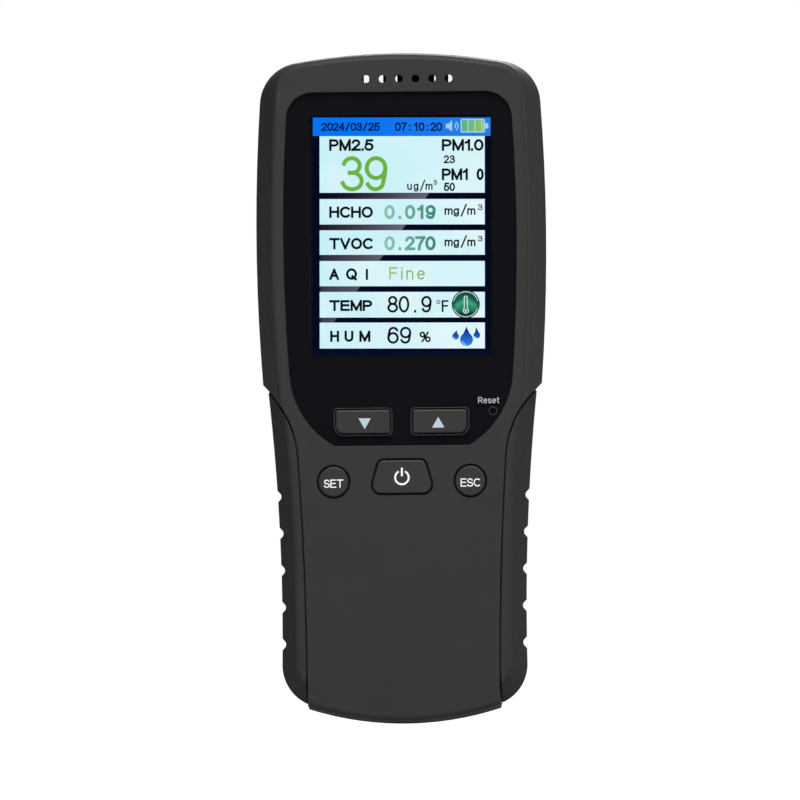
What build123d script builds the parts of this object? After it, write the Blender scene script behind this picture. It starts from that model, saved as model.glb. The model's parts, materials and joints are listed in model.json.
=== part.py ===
"""Handheld air quality monitor.

A two-part casing with rubber side grips, a colour display behind a flush window, five push keys,
a laser particle counter with its own fan, gas sensors and a rechargeable battery.

X runs to the user's right, Y from the display (front, -Y) to the back, Z up along the body. The
origin is the bottom centre of the whole object. All lengths are millimetres.
"""

import os
from math import sqrt

from build123d import *

# ---------------------------------------------------------------- overall casing
HEIGHT = 162.6
HALF_WIDTH = 35.15  # widest half-width of the head, at the parting plane
FRONT_Y = -16.4  # flat front face
BACK_Y = 17.0  # flat back face
FRONT_INNER_Y = -13.6
BACK_INNER_Y = 13.8
SLOPE = 3.9  # how far the sides lean in from the parting plane to a face
TOP_SLOPE = 0.5  # the same for the top of the head
PANEL_SLOPE = 1.0  # and for the bottom end
WALL = 2.0
TRIM = 25.0  # half-length of the tools that cut right through the body

TOP_R = 145.0  # crown of the head
SIDE_R = 472.0  # bulging sides of the head
WIDEST_Z = 118.0
HEAD_CORNER_R = 10.4
HEAD_LOW = 60.0  # the head's solid reaches down to here, inside the bottom end
WAIST_HALF = 29.9  # narrowest half-width, across the grips
WAIST_R = 530.0
WAIST_Z = 25.0
GRIP_CORNER_R = 10.5
GRIP_BOTTOM = 3.8
HANDLE_H = 90.0
BOTTOM_R = 76.0  # crown of the bottom end
PANEL_HALF = 26.0  # half-width of the bottom end before the seams trim it
PANEL_HIGH = 120.0  # its solid reaches up to here, inside the head
FRONT_EDGE_R = 1.2
BACK_EDGE_R = 2.0
PART_GAP = 0.35  # parting groove between the two covers
PART_DEPTH = 0.5

# Cavities
HEAD_CAVITY_LOW = 84.0
PANEL_CAVITY_HALF = 21.0
CORE_WALL = 1.8

# Seam between the casing and the grips, seen from the front (right-hand side)
SEAM_LOW = (23.25, 3.6)
SEAM_MID = (23.6, 36.0)
SEAM_BEND = (25.0, 65.0)
SEAM_SHOULDER = (32.2, 80.8)
SHOULDER_OUT = (40.0, 88.4)  # the shoulder facet runs out past the head
SEAM_GAP = 0.4
LIP_REACH = 0.9  # a lip on the casing closes the seam from behind
LIP_INSET = 0.5
LIP_DEPTH = 10.0  # from the parting plane

# ---------------------------------------------------------------- grips
GRIP_THICK = 2.2
GRIP_FACE_THICK = 1.8
GRIP_FIT = 0.05
GRIP_EDGE_R = 1.6
GRIP_RIDGE_R = 10.0
NOTCH_COUNT = 5
NOTCH_LOW_Z = 19.5
NOTCH_PITCH = 8.95
NOTCH_DEPTH = 1.25
NOTCH_MOUTH = 3.4
NOTCH_R = 0.8

# ---------------------------------------------------------------- window and display
WINDOW_TOP = 152.95
WINDOW_BOTTOM = 67.65
WINDOW_INSET = 7.05  # from the head's side
WINDOW_TOP_R = 6.4
WINDOW_TURN_Z = 84.6  # where the sides turn into the large lower curves
WINDOW_LOW_HALF = 16.3  # half of the straight bottom edge
WINDOW_FRONT_Y = -16.25
WINDOW_THICK = 1.2
WINDOW_GAP = 0.2
WINDOW_BACK_Y = WINDOW_FRONT_Y + WINDOW_THICK
WINDOW_FLOOR_Y = -14.9
SCREEN_W, SCREEN_H = 43.2, 57.6  # active area of a 2.8 inch 3:4 panel
SCREEN_X = 0.4
SCREEN_TOP = 147.1
SCREEN_Z = SCREEN_TOP - SCREEN_H / 2
BORDER_MARGIN = 0.4
APERTURE_MARGIN = 1.2
GASKET_W = 1.6
LCD_W, LCD_H = 50.0, 69.2
LCD_TOP = SCREEN_TOP + 3.1
LCD_Z = LCD_TOP - LCD_H / 2
LCD_LOW = LCD_TOP - LCD_H
LCD_FRONT_Y = -12.8
LCD_MID_Y = -11.6
LCD_BACK_Y = -10.2

# ---------------------------------------------------------------- keys
KEY_SHAPES = ("set", "power", "esc", "down", "up")
KEY_FRONT_Y = FRONT_Y - 0.6
KEY_GAP = 0.45
KEY_EDGE_R = 0.4
ROUND_KEY_R = 3.65
ROUND_KEY_X, ROUND_KEY_Z = 16.55, 58.85
POWER_TOP, POWER_BOTTOM = 63.95, 55.95
POWER_TOP_HALF, POWER_BOTTOM_HALF = 5.5, 7.85
POWER_TOP_R, POWER_BOTTOM_R = 1.4, 2.1
POWER_Z = (POWER_TOP + POWER_BOTTOM) / 2
ARROW_KEY_W, ARROW_KEY_H = 13.1, 5.7
ARROW_KEY_X, ARROW_KEY_Z = 9.3, 73.3
ARROW_KEY_R, ARROW_KEY_OUTER_R = 0.55, 1.9
RESET_X, RESET_Z, RESET_R = 22.2, 75.7, 0.85
FLANGE_SPREAD = 0.9
FLANGE_FRONT_Y = FRONT_INNER_Y + 0.1
FLANGE_BACK_Y = FLANGE_FRONT_Y + 0.6

# ---------------------------------------------------------------- circuit board and switches
BOARD_FRONT_Y = -8.2
BOARD_BACK_Y = -6.6
BOARD_TOP, BOARD_STEP, TONGUE_TOP, BOARD_LOW = 154.5, 50.0, 8.5, 3.9
BOARD_HALF, BOARD_LOW_HALF, TONGUE_HALF = 23.5, 14.5, 6.5
SWITCH_W = 6.0
SWITCH_FRONT_Y = -11.3
SWITCH_FLOOR_Y = -9.2
PLUNGER_R, PLUNGER_PLAY = 1.7, 0.1
PLUNGER_FRONT_Y = -12.5
PLUNGER_BACK_Y = -9.8
RESET_SWITCH_W = 4.5
RESET_SHIFT = 0.3  # the switch stands this much inboard of its pinhole
RESET_PLUNGER_R = 0.9
RESET_FRONT_Y = -11.8
RIBBON_HALF, RIBBON_THICK, RIBBON_Y = 4.0, 0.12, -11.0
FLEX_PLUG_Z, FLEX_PLUG_FRONT_Y = LCD_LOW - 1.6, -9.4
# Integrated circuits on the back of the board: x, z, width, height, thickness
CHIPS = [
    (0.0, 100.0, 10.0, 10.0, 1.2),
    (14.0, 100.5, 5.0, 6.0, 1.4),
    (-12.0, 101.0, 4.0, 5.0, 1.4),
    (2.0, 74.0, 5.0, 4.0, 1.2),
    (0.0, 12.0, 4.0, 3.0, 1.0),
]

# ---------------------------------------------------------------- fasteners
CASE_SCREWS = [(x, z) for z in (86.0, 148.0) for x in (-27.8, 27.8)] + [(-19.2, 11.5), (19.2, 11.5)]
FRONT_BOSS_R, BACK_BOSS_R = 2.2, 3.0
PILOT_R, SHANK_R, CLEAR_R = 1.05, 1.0, 1.2
HEAD_R, HEAD_THICK, WELL_R = 1.9, 1.5, 2.1
HEAD_SEAT_Y = 8.0
PILOT_END_Y, SHANK_END_Y = -8.0, -7.0
BOARD_SCREWS = [(-20.0, 152.2), (20.0, 152.2), (-12.0, 46.5), (12.0, 46.5)]
STANDOFF_R = 1.8
BOARD_PILOT_R, BOARD_SHANK_R, BOARD_CLEAR_R = 0.75, 0.7, 0.85
BOARD_HEAD_R, BOARD_HEAD_THICK = 1.5, 0.8
BOARD_SHANK_END_Y = -12.0

# ---------------------------------------------------------------- vents
VENT_Z = 156.25
VENT_R, VENT_PITCH, VENT_COUNT = 0.93, 4.0, 6
VENT_X = 2.1  # the rows stand a little off the centreline
SLOT_W, SLOT_H, SLOT_PITCH, SLOT_COUNT = 1.3, 6.6, 3.42, 7
SLOT_X, SLOT_Z = 1.82, 155.4
GRILLE_W, GRILLE_H, GRILLE_PITCH = 22.0, 1.4, 3.6
FAN_GRILLE_COUNT, GAS_GRILLE_COUNT = 6, 3
GAS_Z = 88.0

# ---------------------------------------------------------------- particle sensor
PM_HALF = 20.0
PM_Z = 127.5
PM_FRONT_Y, PM_LID_Y, PM_BACK_Y = -4.6, 8.8, 10.4
PM_WALL = 1.2
PM_FLOOR_Y = PM_FRONT_Y + PM_WALL
FAN_X, FAN_Z = -7.0, 134.6
FAN_HALF, FAN_BORE_R = 10.6, 10.0
FAN_BACK_Y = 6.6
FAN_BASE_Y = PM_FLOOR_Y + 1.0
BLADE_COUNT, BLADE_TIP_R, BLADE_TILT = 7, 9.4, 35
HUB_R, HUB_FRONT_Y, HUB_BACK_Y = 4.6, -1.9, 5.6
SHAFT_R, SHAFT_PLAY = 0.75, 0.05
LASER_X, LASER_Y, LASER_Z = 6.5, 2.0, 115.5
PM_BOARD_Z = 115.5

# ---------------------------------------------------------------- battery, port and label
CELL_W, CELL_H = 34.0, 48.0
CELL_LOW = 16.5
CELL_FRONT_Y, CELL_BACK_Y = -5.4, 4.2
PAD_BACK_Y = 5.2
PORT_HALF, PORT_THICK = 3.75, 2.6
PORT_LOW, PORT_HIGH = 1.6, 7.2
PORT_Y = BOARD_BACK_Y + PORT_THICK / 2
PORT_OPENING = (8.2, 3.4)
PLUG_X, PLUG_Z = 14.0, 73.0
LABEL_W, LABEL_H, LABEL_Z, LABEL_DEPTH = 30.0, 22.0, 34.0, 0.25

os.makedirs("parts", exist_ok=True)


# ================================================================ helpers
def front_plane(y):
    """The plane parallel to the front face at depth y, drawn as the user sees it."""
    return Plane.XZ.offset(-y)


def keep(name, piece):
    """Labels a finished piece and writes it to its own file."""
    piece.label = name
    export_step(piece, f"parts/{name}.step")


def pull(outline, near_y, far_y, mode=Mode.ADD):
    """Extrudes outline(y) straight back from depth near_y to depth far_y."""
    extrude(outline(near_y), amount=far_y - near_y, dir=(0, 1, 0), mode=mode)


def pull_circle(x, z, radius, near_y, far_y, mode=Mode.ADD):
    """A round bar along Y."""
    pull(lambda y: circle_outline(x, z, radius, y), near_y, far_y, mode)


def pull_box(x, z, width, height, near_y, far_y, mode=Mode.ADD):
    """A rectangular block centred on (x, z), from depth near_y to depth far_y."""
    pull(lambda y: box_outline(x, z, width, height, y), near_y, far_y, mode)


def lean(outline, face_y, slope, far_y, inset=0.0, near_y=0.0, mode=Mode.ADD):
    """Lofts outline(y, inset) from near_y to far_y, leaning in by slope over the way to face_y."""
    sections = [outline(y, inset + slope * abs(y / face_y)) for y in (near_y, far_y)]
    loft(sections=sections, mode=mode)


def outer_face(builder, face_y):
    """The flat face of the builder's part that looks away from the parting plane."""
    return builder.faces().sort_by(Axis.Y)[0 if face_y < 0 else -1]


# ================================================================ outlines, seen from the front
def circle_outline(x, z, radius, y):
    with BuildSketch(front_plane(y)) as outline:
        with Locations((x, z)):
            Circle(radius)
    return outline.sketch


def box_outline(x, z, width, height, y, corner_r=0.0):
    with BuildSketch(front_plane(y)) as outline:
        with Locations((x, z)):
            Rectangle(width, height)
        if corner_r:
            fillet(outline.vertices(), corner_r)
    return outline.sketch


def head_outline(y, inset, low=HEAD_LOW):
    """The head: a crowned top, which leans in less, between two bulging sides."""
    depth = abs(y / (FRONT_Y if y < 0 else BACK_Y))
    top_inset = inset - (SLOPE - TOP_SLOPE) * depth
    with BuildSketch(front_plane(y)) as outline:
        with Locations((HALF_WIDTH - SIDE_R, WIDEST_Z)):
            Circle(SIDE_R - inset)
        with Locations((SIDE_R - HALF_WIDTH, WIDEST_Z)):
            Circle(SIDE_R - inset, mode=Mode.INTERSECT)
        with Locations((0, HEIGHT - TOP_R)):
            Circle(TOP_R - top_inset, mode=Mode.INTERSECT)
        with Locations((0, low)):
            Rectangle(100, HEIGHT, align=(Align.CENTER, Align.MIN), mode=Mode.INTERSECT)
        fillet(outline.vertices().group_by(Axis.Y)[-1], HEAD_CORNER_R - inset)
    return outline.sketch


def head_cavity_outline(y, inset):
    return head_outline(y, inset, HEAD_CAVITY_LOW)


def panel_outline(y, inset, half=PANEL_HALF):
    """The bottom end between the seams: a block with a crowned lower edge."""
    with BuildSketch(front_plane(y)) as outline:
        with Locations((0, BOTTOM_R)):
            Circle(BOTTOM_R - inset)
        Rectangle(2 * half, PANEL_HIGH, align=(Align.CENTER, Align.MIN), mode=Mode.INTERSECT)
    return outline.sketch


def panel_cavity_outline(y, inset):
    return panel_outline(y, inset, PANEL_CAVITY_HALF)


def handle_outline(y, inset):
    """The handle across the grips: a slight waist over rounded lower corners."""
    with BuildSketch(front_plane(y)) as outline:
        with Locations((0, GRIP_BOTTOM + inset)):
            Rectangle(100, HANDLE_H - inset, align=(Align.CENTER, Align.MIN))
        for side in (-1, 1):
            with Locations((side * (WAIST_HALF + WAIST_R), WAIST_Z)):
                Circle(WAIST_R + inset, mode=Mode.SUBTRACT)
        fillet(outline.vertices().group_by(Axis.Y)[0], GRIP_CORNER_R - inset)
    return outline.sketch


def casing_region(grow=0.0):
    """The area of the front view that belongs to the casing and not to the grips."""
    with BuildSketch(Plane.XZ) as region:
        with BuildLine():
            Polyline((0, -20), (SEAM_LOW[0], -20), SEAM_LOW)
            lower_seam = ThreePointArc(SEAM_LOW, SEAM_MID, SEAM_BEND)
            turn = TangentArc(SEAM_BEND, SEAM_SHOULDER, tangent=lower_seam % 1)
            Polyline(turn @ 1, SHOULDER_OUT, (SHOULDER_OUT[0], HEIGHT + 10), (0, HEIGHT + 10))
            mirror(about=Plane.YZ)
        make_face()
        if grow:
            offset(amount=grow)
    return region.sketch


def window_side_x(z):
    """Half-width of the window at height z, along sides that follow the head."""
    return HALF_WIDTH - SIDE_R + sqrt((SIDE_R - WINDOW_INSET) ** 2 - (z - WIDEST_Z) ** 2)


def window_outline(y, grow=0.0):
    """The display window: a straight top, bulging sides and large lower curves."""
    top, turn, middle = [(window_side_x(z), z) for z in (WINDOW_TOP, WINDOW_TURN_Z, WIDEST_Z)]
    with BuildSketch(front_plane(y)) as outline:
        with BuildLine():
            Line((0, WINDOW_TOP), top)
            side = ThreePointArc(top, middle, turn)
            TangentArc(turn, (WINDOW_LOW_HALF, WINDOW_BOTTOM), tangent=side % 1)
            Line((WINDOW_LOW_HALF, WINDOW_BOTTOM), (0, WINDOW_BOTTOM))
            mirror(about=Plane.YZ)
        make_face()
        fillet(outline.vertices().group_by(Axis.Y)[-1], WINDOW_TOP_R)
        if grow:
            offset(amount=grow)
    return outline.sketch


def screen_outline(y, margin):
    return box_outline(SCREEN_X, SCREEN_Z, SCREEN_W + 2 * margin, SCREEN_H + 2 * margin, y)


def key_centre(shape):
    """Where a key's switch stands: x and z."""
    side = {"set": -1, "power": 0, "esc": 1, "down": -1, "up": 1}[shape]
    if shape == "power":
        return 0, POWER_Z
    if shape in ("set", "esc"):
        return side * ROUND_KEY_X, ROUND_KEY_Z
    return side * ARROW_KEY_X, ARROW_KEY_Z


def key_outline(shape, y, grow=0.0):
    """A key cap seen from the front, spread by grow."""
    x, z = key_centre(shape)
    with BuildSketch(front_plane(y)) as outline:
        if shape == "power":
            with BuildLine():
                Polyline(
                    (-POWER_BOTTOM_HALF, POWER_BOTTOM),
                    (POWER_BOTTOM_HALF, POWER_BOTTOM),
                    (POWER_TOP_HALF, POWER_TOP),
                    (-POWER_TOP_HALF, POWER_TOP),
                    close=True,
                )
            make_face()
            fillet(outline.vertices().group_by(Axis.Y)[0], POWER_BOTTOM_R)
            fillet(outline.vertices().group_by(Axis.Y)[-1], POWER_TOP_R)
        elif shape in ("set", "esc"):
            with Locations((x, z)):
                Circle(ROUND_KEY_R)
        else:
            with Locations((x, z)):
                Rectangle(ARROW_KEY_W, ARROW_KEY_H)
            toward_outside = 1 if x > 0 else -1
            big = (x + toward_outside * ARROW_KEY_W / 2, z - ARROW_KEY_H / 2)
            fillet(outline.vertices().sort_by_distance(big)[1:], ARROW_KEY_R)
            fillet(outline.vertices().sort_by_distance(big)[0], ARROW_KEY_OUTER_R)
        if grow:
            offset(amount=grow)
    return outline.sketch


def board_outline(y):
    with BuildSketch(front_plane(y)) as outline:
        with BuildLine():
            Polyline(
                (0, BOARD_TOP),
                (BOARD_HALF, BOARD_TOP),
                (BOARD_HALF, BOARD_STEP),
                (BOARD_LOW_HALF, BOARD_STEP),
                (BOARD_LOW_HALF, TONGUE_TOP),
                (TONGUE_HALF, TONGUE_TOP),
                (TONGUE_HALF, BOARD_LOW),
                (0, BOARD_LOW),
            )
            mirror(about=Plane.YZ)
        make_face()
        fillet(outline.vertices().group_by(Axis.Y)[-1], 1.5)
    return outline.sketch


# ================================================================ casing
def seam_lip(face_y, play=0.0):
    """The lip behind the seam of one cover, spread by play for the room it takes in a grip."""
    far_y = (LIP_DEPTH + play) * (1 if face_y > 0 else -1)
    with BuildPart() as lip:
        lean(handle_outline, face_y, SLOPE, far_y, inset=LIP_INSET - play)
        region = casing_region(SEAM_GAP + LIP_REACH + play)
        extrude(region, amount=TRIM, both=True, mode=Mode.INTERSECT)
    return lip.part


def casing_half(face_y, edge_r, seat_y):
    """One cover before it is hollowed: head and bottom end trimmed along the seams, and the core
    that the grips wrap."""
    with BuildPart() as head:
        lean(head_outline, face_y, SLOPE, face_y, near_y=seat_y)
        fillet(outer_face(head, face_y).edges().sort_by(Axis.Z)[1:], edge_r)
    with BuildPart() as panel:
        lean(panel_outline, face_y, PANEL_SLOPE, face_y, near_y=seat_y)
        fillet(outer_face(panel, face_y).edges().sort_by(Axis.Z)[0], edge_r)
    with BuildPart() as half:
        add(head.part)
        add(panel.part)
        if seat_y:
            for outline in (head_outline, panel_outline):
                pull(lambda y: outline(y, PART_DEPTH), seat_y, 0)
        extrude(casing_region(), amount=TRIM, both=True, mode=Mode.INTERSECT)
        core_y = face_y * (1 - GRIP_FACE_THICK / abs(face_y))
        lean(handle_outline, face_y, SLOPE, core_y, inset=GRIP_THICK)
        add(seam_lip(face_y))
    return half.part


def hollow(face_y, inner_y):
    """Cuts the cavity of one cover: head, handle and bottom end."""
    lean(head_cavity_outline, face_y, SLOPE, inner_y, inset=WALL, mode=Mode.SUBTRACT)
    handle_wall = GRIP_THICK + CORE_WALL
    lean(handle_outline, face_y, SLOPE, inner_y, inset=handle_wall, mode=Mode.SUBTRACT)
    lean(panel_cavity_outline, face_y, PANEL_SLOPE, inner_y, inset=WALL, mode=Mode.SUBTRACT)


def port_opening():
    """The rounded opening for the charging socket, cut up through the bottom wall."""
    with BuildSketch(Plane.XY.offset(-2)) as opening:
        with Locations((0, PORT_Y)):
            RectangleRounded(*PORT_OPENING, 1.2)
    extrude(opening.sketch, amount=PORT_HIGH, mode=Mode.SUBTRACT)


front_half = casing_half(FRONT_Y, FRONT_EDGE_R, -PART_GAP)
back_half = casing_half(BACK_Y, BACK_EDGE_R, 0)

with BuildPart() as front_bosses:
    for x, z in CASE_SCREWS:
        pull_circle(x, z, FRONT_BOSS_R, FRONT_INNER_Y - 0.2, 0)
    for x, z in BOARD_SCREWS:
        pull_circle(x, z, STANDOFF_R, FRONT_INNER_Y - 0.2, BOARD_FRONT_Y)
    add(front_half, mode=Mode.INTERSECT)

with BuildPart() as front_cover:
    add(front_half)
    hollow(FRONT_Y, FRONT_INNER_Y)
    add(front_bosses.part)
    for x, z in CASE_SCREWS:
        pull_circle(x, z, PILOT_R, PILOT_END_Y, 0, Mode.SUBTRACT)
    for x, z in BOARD_SCREWS:
        pull_circle(x, z, BOARD_PILOT_R, BOARD_SHANK_END_Y, BOARD_FRONT_Y, Mode.SUBTRACT)
    pull(lambda y: window_outline(y, WINDOW_GAP), FRONT_Y - 1, WINDOW_FLOOR_Y, Mode.SUBTRACT)
    pull(lambda y: screen_outline(y, APERTURE_MARGIN), FRONT_Y, FRONT_INNER_Y + 1, Mode.SUBTRACT)
    for shape in KEY_SHAPES:
        pull(lambda y: key_outline(shape, y, KEY_GAP), FRONT_Y - 1, FRONT_INNER_Y + 1, Mode.SUBTRACT)
    pull_circle(RESET_X, RESET_Z, RESET_R, FRONT_Y, FRONT_INNER_Y + 1, Mode.SUBTRACT)
    for step in range(VENT_COUNT):
        x = VENT_X + (step - (VENT_COUNT - 1) / 2) * VENT_PITCH
        pull_circle(x, VENT_Z, VENT_R, FRONT_Y - 1, FRONT_INNER_Y + 1, Mode.SUBTRACT)
    port_opening()
keep("front_cover", front_cover.part)

with BuildPart() as back_bosses:
    for x, z in CASE_SCREWS:
        pull_circle(x, z, BACK_BOSS_R, 0, BACK_INNER_Y + 0.2)
    for z in (CELL_LOW + 10, CELL_LOW + CELL_H - 10):  # ribs that bear on the battery's pad
        pull_box(0, z, CELL_W - 4, 1.6, PAD_BACK_Y, BACK_INNER_Y + 0.2)
    for x in (-17, 17):  # rails that bear on the particle sensor's lid
        pull_box(x, PM_Z, 1.6, 2 * PM_HALF - 8, PM_BACK_Y, BACK_INNER_Y + 0.2)
    add(back_half, mode=Mode.INTERSECT)

with BuildPart() as back_cover:
    add(back_half)
    hollow(BACK_Y, BACK_INNER_Y)
    add(back_bosses.part)
    for x, z in CASE_SCREWS:
        pull_circle(x, z, CLEAR_R, 0, HEAD_SEAT_Y, Mode.SUBTRACT)
        pull_circle(x, z, WELL_R, HEAD_SEAT_Y, BACK_Y + 1, Mode.SUBTRACT)
    for step in range(SLOT_COUNT):
        x = SLOT_X + (step - (SLOT_COUNT - 1) / 2) * SLOT_PITCH
        pull_box(x, SLOT_Z, SLOT_W, SLOT_H, BACK_INNER_Y - 2, BACK_Y + 1, Mode.SUBTRACT)
    for step in range(FAN_GRILLE_COUNT):
        z = FAN_Z + (step - (FAN_GRILLE_COUNT - 1) / 2) * GRILLE_PITCH
        pull_box(FAN_X, z, GRILLE_W - 4, GRILLE_H, BACK_INNER_Y - 0.5, BACK_Y + 1, Mode.SUBTRACT)
    for step in range(GAS_GRILLE_COUNT):
        z = GAS_Z + (step - (GAS_GRILLE_COUNT - 1) / 2) * GRILLE_PITCH
        for x in (-12, 12):
            pull_box(x, z, 12, GRILLE_H, BACK_INNER_Y - 0.5, BACK_Y + 1, Mode.SUBTRACT)
    pull_box(0, LABEL_Z, LABEL_W, LABEL_H, BACK_Y - LABEL_DEPTH, BACK_Y + 1, Mode.SUBTRACT)
    port_opening()
keep("back_cover", back_cover.part)

with BuildPart() as label:
    pull_box(0, LABEL_Z, LABEL_W - 0.6, LABEL_H - 0.6, BACK_Y - LABEL_DEPTH, BACK_Y - 0.1)
    fillet(label.edges().filter_by(Axis.Y), 1.0)
keep("rating_label", label.part)


# ================================================================ grips
def waist_x(z):
    """Half-width of the handle at height z."""
    return WAIST_HALF + WAIST_R - sqrt(WAIST_R**2 - (z - WAIST_Z) ** 2)


def notch_outline(side, z):
    """A finger notch: a shallow V with a rounded floor, cut in from the side."""
    edge = waist_x(z)
    out, floor_half = 1.0, NOTCH_MOUTH / 2 - NOTCH_DEPTH
    with BuildSketch(Plane.XZ) as outline:
        with BuildLine():
            Polyline(
                (side * (edge + out), z + NOTCH_MOUTH / 2 + out),
                (side * (edge - NOTCH_DEPTH), z + floor_half),
                (side * (edge - NOTCH_DEPTH), z - floor_half),
                (side * (edge + out), z - NOTCH_MOUTH / 2 - out),
                close=True,
            )
        make_face()
        floor = outline.vertices().sort_by_distance((0, z))[:2]
        fillet(floor, NOTCH_R)
    return outline.sketch


def grip_side(side):
    """One grip: a rubber sleeve that runs from the front seam round the side to the back seam."""
    with BuildPart() as grip:
        for face_y in (FRONT_Y, BACK_Y):
            lean(handle_outline, face_y, SLOPE, face_y)
        ends = grip.faces().sort_by(Axis.Y)
        rims = ends[0].edges() + ends[-1].edges()
        fillet(rims.filter_by(lambda edge: edge.center().Z < HANDLE_H), GRIP_EDGE_R)
        ridge = grip.edges().filter_by_position(Axis.Y, -0.01, 0.01)
        fillet(ridge.filter_by(lambda edge: edge.center().Z < HANDLE_H), GRIP_RIDGE_R)
        extrude(casing_region(SEAM_GAP), amount=TRIM, both=True, mode=Mode.SUBTRACT)
        for face_y in (FRONT_Y, BACK_Y):
            inner_y = face_y * (1 - (GRIP_FACE_THICK - GRIP_FIT) / abs(face_y))
            sleeve = GRIP_THICK - GRIP_FIT
            lean(handle_outline, face_y, SLOPE, inner_y, inset=sleeve, mode=Mode.SUBTRACT)
            add(seam_lip(face_y, GRIP_FIT), mode=Mode.SUBTRACT)
        for step in range(NOTCH_COUNT):
            notch = notch_outline(side, NOTCH_LOW_Z + step * NOTCH_PITCH)
            extrude(notch, amount=TRIM, both=True, mode=Mode.SUBTRACT)
    return grip.part


for name, side in (("left_grip", -1), ("right_grip", 1)):
    sleeves = grip_side(side).solids().sort_by(Axis.X)
    keep(name, sleeves[0 if side < 0 else -1])

# ================================================================ window and display
with BuildPart() as window:
    pull(window_outline, WINDOW_FRONT_Y, WINDOW_BACK_Y)
    for shape in ("down", "up"):
        pull(lambda y: key_outline(shape, y, KEY_GAP), FRONT_Y, 0, Mode.SUBTRACT)
    pull_circle(RESET_X, RESET_Z, RESET_R, FRONT_Y, 0, Mode.SUBTRACT)
keep("display_window", window.part)

with BuildPart() as border:
    pull(window_outline, WINDOW_BACK_Y, WINDOW_FLOOR_Y)
    pull(lambda y: screen_outline(y, BORDER_MARGIN), FRONT_Y, 0, Mode.SUBTRACT)
    for shape in ("down", "up"):
        pull(lambda y: key_outline(shape, y, KEY_GAP), FRONT_Y, 0, Mode.SUBTRACT)
    pull_circle(RESET_X, RESET_Z, RESET_R, FRONT_Y, 0, Mode.SUBTRACT)
keep("window_border", border.part)

with BuildPart() as gasket:
    pull(lambda y: screen_outline(y, APERTURE_MARGIN + GASKET_W), FRONT_INNER_Y, LCD_FRONT_Y)
    pull(lambda y: screen_outline(y, APERTURE_MARGIN), FRONT_Y, 0, Mode.SUBTRACT)
keep("display_gasket", gasket.part)

with BuildPart() as lcd_panel:
    pull_box(SCREEN_X, LCD_Z, LCD_W - 0.8, LCD_H - 0.6, LCD_FRONT_Y, LCD_MID_Y)
keep("lcd_panel", lcd_panel.part)

with BuildPart() as lcd_backlight:
    pull_box(SCREEN_X, LCD_Z, LCD_W, LCD_H, LCD_MID_Y, LCD_BACK_Y)
    fillet(lcd_backlight.edges().filter_by(Axis.Y), 0.8)
keep("lcd_backlight", lcd_backlight.part)

with BuildPart() as lcd_holder:
    pull_box(SCREEN_X, LCD_Z, LCD_W - 1, LCD_H - 0.4, LCD_BACK_Y, BOARD_FRONT_Y)
    fillet(lcd_holder.edges().filter_by(Axis.Y), 1.0)
    pull_box(SCREEN_X, LCD_Z, LCD_W - 8, LCD_H - 10, LCD_BACK_Y, BOARD_FRONT_Y, Mode.SUBTRACT)
keep("lcd_holder", lcd_holder.part)

# The ribbon leaves the bottom edge of the display and turns back into a connector on the board.
with BuildPart() as lcd_flex:
    with BuildSketch(Plane.YZ) as ribbon:
        with BuildLine():
            down = Line((RIBBON_Y, LCD_LOW - RIBBON_THICK), (RIBBON_Y, LCD_LOW - 0.8))
            turn = TangentArc(down @ 1, (RIBBON_Y + 0.8, FLEX_PLUG_Z), tangent=down % 1)
            Line(turn @ 1, (FLEX_PLUG_FRONT_Y - RIBBON_THICK, FLEX_PLUG_Z))
            offset(amount=RIBBON_THICK, side=Side.BOTH)
        make_face()
    extrude(amount=RIBBON_HALF, both=True)
keep("lcd_flex", lcd_flex.part)

# ================================================================ keys and their switches
for shape in KEY_SHAPES:
    x, z = key_centre(shape)
    with BuildPart() as key:
        pull(lambda y: key_outline(shape, y), KEY_FRONT_Y, FLANGE_FRONT_Y)
        fillet(key.faces().sort_by(Axis.Y)[0].edges(), KEY_EDGE_R)
        pull(lambda y: key_outline(shape, y, FLANGE_SPREAD), FLANGE_FRONT_Y, FLANGE_BACK_Y)
        pull_circle(x, z, PLUNGER_R, FLANGE_BACK_Y, PLUNGER_FRONT_Y)
    keep(f"{shape}_button", key.part)

    with BuildPart() as plunger:
        pull_circle(x, z, PLUNGER_R, PLUNGER_FRONT_Y, PLUNGER_BACK_Y)
    keep(f"{shape}_plunger", plunger.part)

with BuildPart() as key_switches:
    for shape in KEY_SHAPES:
        x, z = key_centre(shape)
        pull_box(x, z, SWITCH_W, SWITCH_W, SWITCH_FRONT_Y, BOARD_FRONT_Y)
        bore = PLUNGER_R + PLUNGER_PLAY
        pull_circle(x, z, bore, SWITCH_FRONT_Y, SWITCH_FLOOR_Y, Mode.SUBTRACT)
keep("key_switches", key_switches.part)

with BuildPart() as reset_switch:
    side = RESET_SWITCH_W
    pull_box(RESET_X - RESET_SHIFT, RESET_Z, side, side, SWITCH_FRONT_Y, BOARD_FRONT_Y)
    bore = RESET_PLUNGER_R + PLUNGER_PLAY
    pull_circle(RESET_X - RESET_SHIFT, RESET_Z, bore, SWITCH_FRONT_Y, SWITCH_FLOOR_Y, Mode.SUBTRACT)
keep("reset_switch", reset_switch.part)

with BuildPart() as reset_plunger:
    pull_circle(RESET_X - RESET_SHIFT, RESET_Z, RESET_PLUNGER_R, RESET_FRONT_Y, PLUNGER_BACK_Y)
keep("reset_plunger", reset_plunger.part)

# ================================================================ circuit board
with BuildPart() as board:
    pull(board_outline, BOARD_FRONT_Y, BOARD_BACK_Y)
    for x, z in BOARD_SCREWS:
        pull_circle(x, z, BOARD_CLEAR_R, BOARD_FRONT_Y, BOARD_BACK_Y, Mode.SUBTRACT)
keep("main_board", board.part)

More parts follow.
